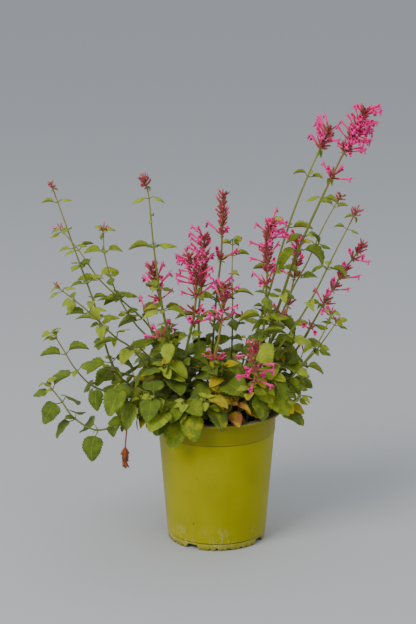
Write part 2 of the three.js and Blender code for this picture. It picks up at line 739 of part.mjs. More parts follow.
// The stem's foot: a level square below the surface and another just above it
function footRings(stem, extra) {
  const radius = stemRadius(stem, 0) + extra;
  const foot = stem.line.places[0];
  const level = (drop) => squareRing(add(foot, [0, 0, -drop]), [1, 0, 0], [0, 1, 0], radius, 0);
  return [level(FOOT_DEPTH + STEM_START - COMPOST_TOP + extra), level(-extra)];
}

function stemRing(stem, distance, degrees) {
  const { side, far } = axesAt(stem.line, distance);
  return squareRing(pointAt(stem.line, distance), side, far, stemRadius(stem, distance), degrees);
}

// The nearest angle to the last one that turns a square into the same square
const followAngle = (degrees, last) => degrees + 90 * Math.round((last - degrees) / 90);

// Rings at the given nodes of a stem and at the bends between them, bridged into one tube, with
// a shoot on each side of a node that has one
function growTube(body, stem, loop, from, to, startAngle, nodes, half, sprout) {
  let last = loop;
  let angle = startAngle;
  let here = from;
  const moveTo = (distance, degrees) => {
    const first = here;
    const firstAngle = angle;
    const bends = stem.line.bends.filter((bend) => bend > first && bend < distance - BEND_ROOM);
    for (const stop of [...bends, distance]) {
      if (stop < distance && stop < here + BEND_ROOM) continue;
      here = stop;
      angle = firstAngle + (degrees - firstAngle) * (stop - first) / (distance - first);
      const ring = body.add(stemRing(stem, here, angle));
      body.bridge(last, ring);
      last = ring;
    }
  };
  for (const node of nodes) {
    moveTo(node.distance - half, followAngle(node.offset, angle));
    const turned = Math.round((angle - node.offset) / 90);
    const upper = body.add(stemRing(stem, node.distance + half, angle));
    for (let k = 0; k < 4; k += 1) {
      const n = (k + 1) % 4;
      sprout(node, (k + turned + 8) % 4, [last[k], last[n], upper[n], upper[k]]);
    }
    last = upper;
    here = node.distance + half;
  }
  if (to > here + 1) moveTo(to, angle);
  body.cap(last);
}

// A leaf with toothed edges and a blade that is thickest at the rib, on its stalk
function growLeaf(body, leaf, root) {
  const { rib: ribStops, edge } = EDGES.find(({ over }) => leaf.length > over);
  const stalk = Math.min(PETIOLE_RADIUS, leaf.length / 20);
  const half = Math.min(BLADE_THICKNESS / 2, leaf.length / 25);
  const ribPoint = (t, height) => {
    const bend = leaf.form.bend * t;
    return placed(leaf, add(leafPoint(leaf, t, 0), [height * Math.sin(bend), 0, height * Math.cos(bend)]));
  };
  const top = body.add(ribStops.map((t) => ribPoint(t, half)));
  const under = body.add(ribStops.map((t) => ribPoint(t, -half)));
  const [tip] = body.add([placed(leaf, leafPoint(leaf, 1, 0))]);
  const [far, near] = [1, -1].map((s) => body.add([
    placed(leaf, [0, s * stalk, 0]),
    ...edge.map(([t, share]) => placed(leaf, leafPoint(leaf, t, s * share))),
  ]));
  // Strip between the rib and an edge, stepping on whichever is behind
  const strip = (rib, side, flip) => {
    const ribPlace = [...ribStops, 1];
    const sidePlace = [0, ...edge.map(([t]) => t), 1];
    const ribLine = [...rib, tip];
    const sideLine = [...side, tip];
    let i = 0;
    let j = 0;
    while (i < rib.length || j < side.length - 1) {
      const onRib = i < rib.length && (j === side.length - 1 || ribPlace[i + 1] <= sidePlace[j + 1]);
      const next = onRib ? ribLine[i + 1] : sideLine[j + 1];
      body.corners.push(flip ? [ribLine[i], next, sideLine[j]] : [ribLine[i], sideLine[j], next]);
      if (onRib) i += 1;
      else j += 1;
    }
  };
  strip(top, far, true);
  strip(top, near, false);
  strip(under, far, false);
  strip(under, near, true);
  body.bridge(root, [far[0], top[0], near[0], under[0]]);
}

const roundPoints = (item, distance, radius, degrees) => degrees.map((turn) => {
  const angle = radians(turn);
  return placed(item, [distance, radius * Math.cos(angle), radius * Math.sin(angle)]);
});

// A spindle with three ribs
function growCalyx(body, calyx, root) {
  const ring = body.add(roundPoints(calyx, 0.58 * calyx.length, CALYX_RADIUS, [90, 210, 330]));
  const [tip] = body.add([placed(calyx, [calyx.length, 0, 0])]);
  body.funnel(root, ring);
  for (let i = 0; i < 3; i += 1) body.corners.push([ring[i], ring[(i + 1) % 3], tip]);
}

// A flower: a tube that widens to its mouth, a straight upper lip and a bent lower lip
function growFlower(body, flower, root) {
  const tube = TUBE_SHARE * flower.length;
  const reach = flower.length;
  const r = MOUTH_RADIUS;
  const mouth = body.add(roundPoints(flower, tube, r, [60, 120, 220, 320]));
  const [m0, m1, m2, m3] = mouth;
  const [throat, lip, left, right] = body.add([
    [tube - 1.6, 0, 0], [reach + 0.5, 0, 1.3 * r],
    [reach - 0.5, -1.5 * r, -1.7 * r], [reach - 0.5, 1.5 * r, -1.7 * r],
  ].map((p) => placed(flower, p)));
  body.bridge(root, mouth);
  body.corners.push(
    [m0, m1, lip], [m1, throat, lip], [throat, m0, lip],
    [m1, m2, throat], [m3, m0, throat],
    [m2, left, throat], [left, right, throat], [right, m3, throat],
    [m2, m3, left], [left, m3, right],
  );
}

function stemSolid(stem) {
  const body = new Body();
  const [bottom, surface] = footRings(stem, 0).map((ring) => body.add(ring));
  body.cap([...bottom].reverse());
  body.bridge(bottom, surface);
  const end = stem.spike ? stem.spike.start - JOINT_GAP / 2 : stem.line.length;
  const sprout = (node, quarter, loop) => {
    const leaf = node.leaves[quarter];
    if (leaf) growLeaf(body, leaf, loop);
    else body.cap(loop);
  };
  growTube(body, stem, surface, stem.line.run[0], end, 0, stem.nodes, LEAF_NODE_HALF, sprout);
  return body.solid();
}

function spikeSolid(stem) {
  const body = new Body();
  const start = stem.spike.start + JOINT_GAP / 2;
  const first = stem.whorls[0].offset;
  const ring = body.add(stemRing(stem, start, first));
  body.cap([...ring].reverse());
  const sprout = (whorl, quarter, loop) => {
    const item = whorl.places[quarter];
    if (!item) body.cap(loop);
    else if (item.kind === 'flower') growFlower(body, item, loop);
    else growCalyx(body, item, loop);
  };
  growTube(body, stem, ring, start, stem.line.length, first, stem.whorls, WHORL_HALF, sprout);
  return body.solid();
}

// A closed geometry as a solid, with each point moved by a rule
function geometrySolid(geometry, move) {
  geometry.deleteAttribute('normal');
  geometry.deleteAttribute('uv');
  const merged = mergeVertices(geometry, 1e-3);
  const places = merged.getAttribute('position');
  const points = [];
  for (let i = 0; i < places.count; i += 1) {
    points.push(move([places.getX(i), places.getY(i), places.getZ(i)]));
  }
  const corners = [];
  for (let i = 0; i < merged.index.count; i += 3) {
    const [a, b, c] = [0, 1, 2].map((k) => merged.index.getX(i + k));
    if (a !== b && b !== c && c !== a) corners.push([a, b, c]);
  }
  return solidOf(points, corners);
}

// A solid of revolution from radius and height pairs that start and end on the axis
function revolved(profile, sides, move) {
  const geometry = new THREE.LatheGeometry(profile.map(([r, z]) => new THREE.Vector2(r, z)), sides);
  geometry.rotateX(Math.PI / 2);
  return geometrySolid(geometry, move);
}

// A wedge that cuts the pot's skirt from below at an angle from the front
function skirtCut(degrees, width, height) {
  const outline = new THREE.Shape();
  outline.moveTo(-width / 2, -1);
  outline.lineTo(width / 2, -1);
  outline.lineTo(width / 3, height);
  outline.lineTo(-width / 3, height);
  outline.closePath();
  const depth = 12;
  const geometry = new THREE.ExtrudeGeometry(outline, { depth, bevelEnabled: false });
  geometry.rotateX(Math.PI / 2);
  geometry.translate(0, depth - SKIRT_TOP_RADIUS - 4, 0);
  geometry.rotateZ(radians(degrees));
  return geometrySolid(geometry, (p) => p);
}

function potSolid() {
  const inner = RIM_RADIUS - LIP_THICKNESS;
  const whole = revolved([
    [0, 0], [CENTRE_PAD_RADIUS, 0], [CENTRE_PAD_RADIUS, FLOOR_UNDERSIDE],
    [SKIRT_TOP_RADIUS - WALL_THICKNESS, FLOOR_UNDERSIDE],
    [SKIRT_FOOT_RADIUS - WALL_THICKNESS, 0], [SKIRT_FOOT_RADIUS, 0],
    [SKIRT_TOP_RADIUS, WALL_FOOT_HEIGHT - 0.8], [WALL_FOOT_RADIUS, WALL_FOOT_HEIGHT],
    [WALL_TOP_RADIUS, NECK_FOOT_HEIGHT], [NECK_FOOT_RADIUS, NECK_FOOT_HEIGHT + 0.8],
    [NECK_TOP_RADIUS, POT_HEIGHT - LIP_THICKNESS], [inner, POT_HEIGHT - LIP_THICKNESS],
    [inner, POT_HEIGHT - LIP_DROP], [RIM_RADIUS, POT_HEIGHT - LIP_DROP],
    [RIM_RADIUS, POT_HEIGHT],
    [NECK_TOP_RADIUS - WALL_THICKNESS, POT_HEIGHT],
    [WALL_FOOT_RADIUS - WALL_THICKNESS, FLOOR_TOP], [0, FLOOR_TOP],
  ], POT_SIDES, (p) => p);
  const cuts = [];
  for (const slot of DRAIN_SLOT_ANGLES) {
    cuts.push(skirtCut(slot, DRAIN_SLOT_WIDTH, DRAIN_SLOT_HEIGHT));
    for (const [turn, width] of SCALLOPS) cuts.push(skirtCut(slot + turn, width, SCALLOP_HEIGHT));
  }
  return cuts.reduce((pot, cut) => pot.subtract(cut), whole);
}

function compostSolid() {
  const wallAt = (z) => {
    const t = (z - FLOOR_TOP) / (POT_HEIGHT - FLOOR_TOP);
    const foot = WALL_FOOT_RADIUS - WALL_THICKNESS;
    const top = NECK_TOP_RADIUS - WALL_THICKNESS;
    return (foot + (top - foot) * t - 1.5 * FITTING_GAP) * Math.cos(Math.PI / POT_SIDES);
  };
  const floor = FLOOR_TOP + FITTING_GAP;
  const profile = [[0, floor], [wallAt(floor), floor], [wallAt(COMPOST_TOP), COMPOST_TOP]];
  for (const radius of [...COMPOST_RINGS].reverse()) profile.push([radius, COMPOST_TOP]);
  profile.push([0, COMPOST_TOP]);
  const lump = (p) => {
    const wave = Math.sin(p[0] / 9 + 1) * Math.cos(p[1] / 11) + 0.5 * Math.sin(p[0] / 4 - p[1] / 5);
    const inside = clamp((wallAt(COMPOST_TOP) - Math.hypot(p[0], p[1])) / 20, 0, 1);
    return p[2] > COMPOST_TOP - 1 ? add(p, [0, 0, COMPOST_LUMP * wave * inside]) : p;
  };
  const holes = stems.map((stem) => {
    const hole = new Body();
    const [bottom, surface] = footRings(stem, HOLE_GAP).map((ring) => hole.add(ring));
    hole.cap([...bottom].reverse());
    hole.bridge(bottom, surface);
    hole.cap(surface);
    return hole.solid();
  });
  return holes.reduce((whole, hole) => whole.subtract(hole), revolved(profile, COMPOST_SIDES, lump));
}

// The plant: spikes take their places first, then the leaves
const shoots = [...SHOOTS, WITHERED_SHOOT].map((shoot) => ({ ...shoot, thick: SHOOT_THICK }));
const stems = [...STEMS, ...shoots];
function takeLine(stem) {
  const samples = [];
  for (let d = stem.line.run[0]; d < stem.line.length; d += 3) samples.push(pointAt(stem.line, d));
  take(samples, stem.name, 'stem');
}
for (const stem of stems) {
  stem.line = makeLine(stem.points.map(([x, y, z]) => [x, y, z ?? STEM_START]));
  takeLine(stem);
}
for (const shoot of shoots) {
  shoot.pairs = shoot.pairs.map((pair, i) => [shoot.line.length * SHOOT_SHARES[i], ...pair]);
}
const hook = pointAt(stems.find((stem) => stem.name === DRY_STALK.hangsFrom).line, DRY_STALK.distance);
const dryStalk = { ...DRY_STALK, line: makeLine(DRY_STALK.offsets.map((offset) => add(hook, offset))) };
takeLine(dryStalk);
const spikes = [...stems.filter((stem) => stem.spike), dryStalk];
spikes.forEach((stem, index) => growSpike(stem, draws(SEED + 17 * index)));
stems.forEach((stem, index) => {
  const random = draws(SEED + 1000 + 31 * index);
  stem.nodes = stem.pairs.map(([distance, blade, turn, form]) => {
    const offset = turn + 14 * (random() - 0.5);
    const leaves = [null, null, null, null];
    for (const quarter of [3, 1]) {
      leaves[quarter] = placeLeaf(stem, distance, blade, offset + 90 + 90 * quarter, form, random);
    }
    return { distance, offset, leaves };
  });
});

// Scene graph
const group = new THREE.Group();
function addMesh(name, solid, finish) {
  const mesh = solid.getMesh();
  const geometry = new THREE.BufferGeometry();
  geometry.setAttribute('position', new THREE.BufferAttribute(Float32Array.from(mesh.vertProperties), 3));
  geometry.setIndex(new THREE.BufferAttribute(Uint32Array.from(mesh.triVerts), 1));
  geometry.computeVertexNormals();
  const object = new THREE.Mesh(geometry, new THREE.MeshStandardMaterial(FINISHES[finish]));
  object.name = name;
  group.add(object);
}

addMesh('pot', potSolid(), 'pot');
addMesh('compost', compostSolid(), 'compost');
for (const stem of stems) {
  addMesh(`stem_${stem.name}`, stemSolid(stem), stem.name === WITHERED_SHOOT.name ? 'withered' : 'foliage');
  if (stem.spike) addMesh(`spike_${stem.name}`, spikeSolid(stem), 'blossom');
}
addMesh('dry_stalk', spikeSolid(dryStalk), 'dry');

export default group;
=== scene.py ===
"""Potted giant hyssop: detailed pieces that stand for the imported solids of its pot, compost,
leafy stems and flower spikes. Metres, +Z up, -Y is the front. The plant's tables and rules are
in millimetres and are turned into metres where a mesh is made."""
import bisect
import itertools
import json
import math

import bpy
import mathutils
import numpy as np
from bpy.props import FloatProperty, FloatVectorProperty, IntProperty, PointerProperty
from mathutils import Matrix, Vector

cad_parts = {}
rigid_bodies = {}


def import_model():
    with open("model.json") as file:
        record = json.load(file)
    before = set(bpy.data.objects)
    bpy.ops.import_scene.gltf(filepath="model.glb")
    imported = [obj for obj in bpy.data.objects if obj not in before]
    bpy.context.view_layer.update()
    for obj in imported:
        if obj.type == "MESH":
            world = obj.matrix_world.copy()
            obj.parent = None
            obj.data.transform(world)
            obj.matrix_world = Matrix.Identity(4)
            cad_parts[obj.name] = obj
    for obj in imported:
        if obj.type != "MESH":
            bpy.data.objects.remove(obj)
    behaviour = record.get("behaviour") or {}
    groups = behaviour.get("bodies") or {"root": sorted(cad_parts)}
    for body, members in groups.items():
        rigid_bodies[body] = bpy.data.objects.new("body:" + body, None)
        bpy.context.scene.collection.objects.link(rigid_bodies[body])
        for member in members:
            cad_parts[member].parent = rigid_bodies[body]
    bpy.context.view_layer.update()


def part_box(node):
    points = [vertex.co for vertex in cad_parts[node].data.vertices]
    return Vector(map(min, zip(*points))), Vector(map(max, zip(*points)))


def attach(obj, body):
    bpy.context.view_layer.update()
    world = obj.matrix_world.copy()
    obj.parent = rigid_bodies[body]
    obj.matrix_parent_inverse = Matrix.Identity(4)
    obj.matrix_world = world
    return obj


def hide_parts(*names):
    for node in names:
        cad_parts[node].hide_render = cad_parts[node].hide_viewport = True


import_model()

bl_info = {
    "name": "Potted Giant Hyssop",
    "version": (1, 0, 0),
    "blender": (4, 5, 0),
    "location": "3D View > Sidebar > Hyssop",
    "description": "Builds a flowering giant hyssop in a lime green nursery pot",
    "category": "Add Mesh",
}

MM = 0.001
BODY = "root"

# Pot, in millimetres
POT_HEIGHT = 197
RIM_RADIUS = 95
LIP_DROP = 3.6
LIP_THICKNESS = 1.8
NECK_TOP_RADIUS = 86.4
NECK_FOOT_RADIUS = 85.4
NECK_FOOT_HEIGHT = 164
WALL_TOP_RADIUS = 84.6
WALL_FOOT_RADIUS = 72.4
WALL_FOOT_HEIGHT = 11.4
SKIRT_TOP_RADIUS = 71.4
SKIRT_FOOT_RADIUS = 70.9
WALL_THICKNESS = 1.7
FLOOR_UNDERSIDE = 8.6
FLOOR_TOP = 10.6
CENTRE_PAD_RADIUS = 12
DRAIN_SLOTS = (-30, 60, 150, 240)
DRAIN_SLOT = (23, 7)
SCALLOPS = ((22, 6), (45, 10), (68, 6))
SCALLOP_HEIGHT = 2.6

# Strength of the scuffs inside the pot. Heights on its outside in metres: between the first two
# the neck darkens with painted shade under the lip, below the next two the skirt is paler, with
# rubbed patches and a little painted light, and each line of painted shade under a step of the
# wall has its height, half width and depth of shade.
LINING_WEAR = 0.2
NECK_SHADE = (0.1636, 0.166)
PALE_SKIRT = (0.0102, 0.0106)
STEP_SHADES = ((0.1638, 0.0013, 0.55), (0.0108, 0.0011, 0.85))

# More notches in the skirt's foot than the solid has: degrees past each slot, half width in
# degrees and height in millimetres
NOTCHES = ((31, 2.1, 4.2), (37.5, 1.3, 2.4), (53, 1.9, 3.4), (61.5, 2.3, 4), (76, 1.9, 3.5))

# Compost, in millimetres
COMPOST_TOP = 179
COMPOST_LUMP = 1.5
COMPOST_SIDES, COMPOST_RINGS = 120, 44
STEM_START = 183
ROOT_DEPTH = 12

# Stems, leaves and flowers, in millimetres
LINE_STEPS = 10
LAYER_STEP = 4.6
WHORL_HALF = 1.6
JOINT_GAP = 0.3
DROOPING_LEAF = 28
LEAST_TURN = 0.2
CALYX_LENGTH = 10.5
FLOWER_LENGTH = 25

# Room kept between a blade or flower and what belongs to another, in millimetres
CLEARANCE = 5
SAMPLE_STEP = 3.6
WHORL_CLEARANCE = 2.6
OWN_STEM_CLEARANCE = 2.6
FILL_CLEARANCE = 1.6

# Between these two radii a blade or flower keeps clear of the pot's lip. Inside them it keeps
# clear of the compost, and outside the pot it stays above a least height.
LIP_ZONE = (80, 99.5)
LIP_CLEARANCE = 4
COMPOST_CLEARANCE = 6
LEAST_HEIGHT = 20

# What a point of a skeleton is, and what a face of a repeated shape belongs to
STEM_LINE, STALK_LINE, SHAPE_SPOT = 0.0, 1.0, 2.0
LEAF_PART, PETAL_PART, CALYX_PART = 1.0, 2.0, 3.0

# Seeds of the draws
SEED = 7
PLUME_SEED = 5200
HEAD_SEED = 6300
FILL_SEED = 4100
STEM_SEED = 900
SPIKE_SEED = 2300
DRY_SEED = 77

# How the leaves of a pair and the small leaves are tried, in degrees and millimetres. The stalk
# rises from the stem by a least angle and a drawn part. The blade follows a share of the stalk's
# slope, and droops by one angle where it is short, by another where it is long, and by a drawn
# part. The stalk's length is a least length and a share of the blade's. A leaf shrinks, tips and
# turns until it is clear of everything else.
PAIR_LEAF = {
    "kind": "leaf", "rise": (14, 22), "follow": 0.4, "droop": (2, -34, 26), "roll": 36,
    "stalk": (3, 0.22), "least_turn": LEAST_TURN, "shrinks": (1, 0.84, 0.7),
    "tips": (0, 14, -16, 30), "turns": (0, 16, -16, 32, -32, 48, -48),
}
SMALL_LEAF = {
    "kind": "filler", "rise": (26, 30), "follow": 0.7, "droop": (-16, -16, 24), "roll": 30,
    "stalk": (2, 0.16), "least_turn": -1, "shrinks": (1, 0.8, 0.62), "tips": (0,),
    "turns": (0, 24, -24),
}

# Leaf forms: width against length, rise of the edges, bend of the rib in radians, wave of the
# edges, and the two powers of the outline
FORM_VALUES = ("width", "fold", "bend", "wave", "near", "full")


def leaf_forms(**rows):
    return {name: dict(zip(FORM_VALUES, row)) for name, row in rows.items()}


FORMS = leaf_forms(
    broad=(0.86, 0.16, 0.5, 0.05, 0.58, 0.66), hanging=(0.82, 0.1, 0.9, 0.06, 0.6, 0.68),
    ovate=(0.66, 0.3, 0.6, 0.04, 0.62, 0.8), folded=(0.5, 0.7, 1.0, 0.03, 0.64, 0.86),
    lance=(0.36, 0.6, 0.8, 0.02, 0.72, 1.0), arched=(0.42, 0.6, 1.7, 0.02, 0.7, 0.95),
)

# The finished blades are flatter than the solids' and have rounder ends
LEAF_LOOK = leaf_forms(
    broad=(0.88, 0.1, 0.42, 0.016, 0.57, 0.6), hanging=(0.82, 0.08, 0.7, 0.016, 0.6, 0.64),
    ovate=(0.7, 0.16, 0.5, 0.014, 0.62, 0.7), folded=(0.54, 0.3, 0.75, 0.01, 0.64, 0.8),
    lance=(0.38, 0.5, 0.8, 0.01, 0.72, 0.9), arched=(0.4, 0.3, 1.6, 0.01, 0.7, 0.86),
    small=(0.74, 0.12, 0.45, 0.01, 0.6, 0.66), narrow=(0.5, 0.2, 0.7, 0.014, 0.66, 0.85),
)

# Teeth on each edge, columns across and pairs of side veins of each leaf form's own mesh
LEAF_DETAIL = {
    "broad": (9, 8, 6), "hanging": (9, 8, 6), "ovate": (7, 6, 5), "folded": (6, 6, 5),
    "lance": (5, 4, 4), "arched": (6, 4, 4), "small": (3, 4, 3), "narrow": (3, 4, 3),
}

# Variants of each blade: sideways lean, and what its bend, fold and wave are multiplied by
LEAF_VARIANTS = ((0.03, 1, 1, 1), (-0.04, 1.6, -0.8, 1.8), (0.02, 0.7, 2.6, 1.2))
MOST_FOLD, MOST_BEND = 0.55, 1.9

# The finished stems and some finished leaves are larger by these
STEM_GAIN = 1.3
LEAF_GAIN = {"folded": 1.2, "lance": 1.15, "narrow": 1.1, "arched": 1.15}
SHORT_LANCE, SHORT_LANCE_GAIN = 14, 1.6

# No larger leaf reaches further back than this
MOST_BACK = 145

# The shaded bush low in the middle of the plant: its height and radius
BUSH_HEIGHT, BUSH_RADIUS = 300, 140

# Way that the blades turn their faces, and how far a pair's and a small blade turn about their
# ribs towards it, in degrees
LIGHT_WAY = (-0.26, -0.76, 0.6)
PAIR_TURN = 28
SMALL_TURN = 44

# Finished flower and calyx, in millimetres: length, and radius of the mouth or belly
BLOOM = (29.5, 2.0)
CUP = (12.8, 1.3)


def even_whorls(first, last, count, calyces, flowers):
    """Like whorls at even steps along a stem."""
    steps = count - 1
    return [(first + (last - first) * i / steps, calyces, flowers) for i in range(count)]


def tall_stem(name, thick, points, pairs, spike_start=0, whorls=()):
    """A stem as it is written in the table."""
    stem = {"name": name, "thick": thick, "points": points, "pairs": pairs}
    if whorls:
        stem["spike"] = {"start": spike_start, "whorls": whorls}
    return stem


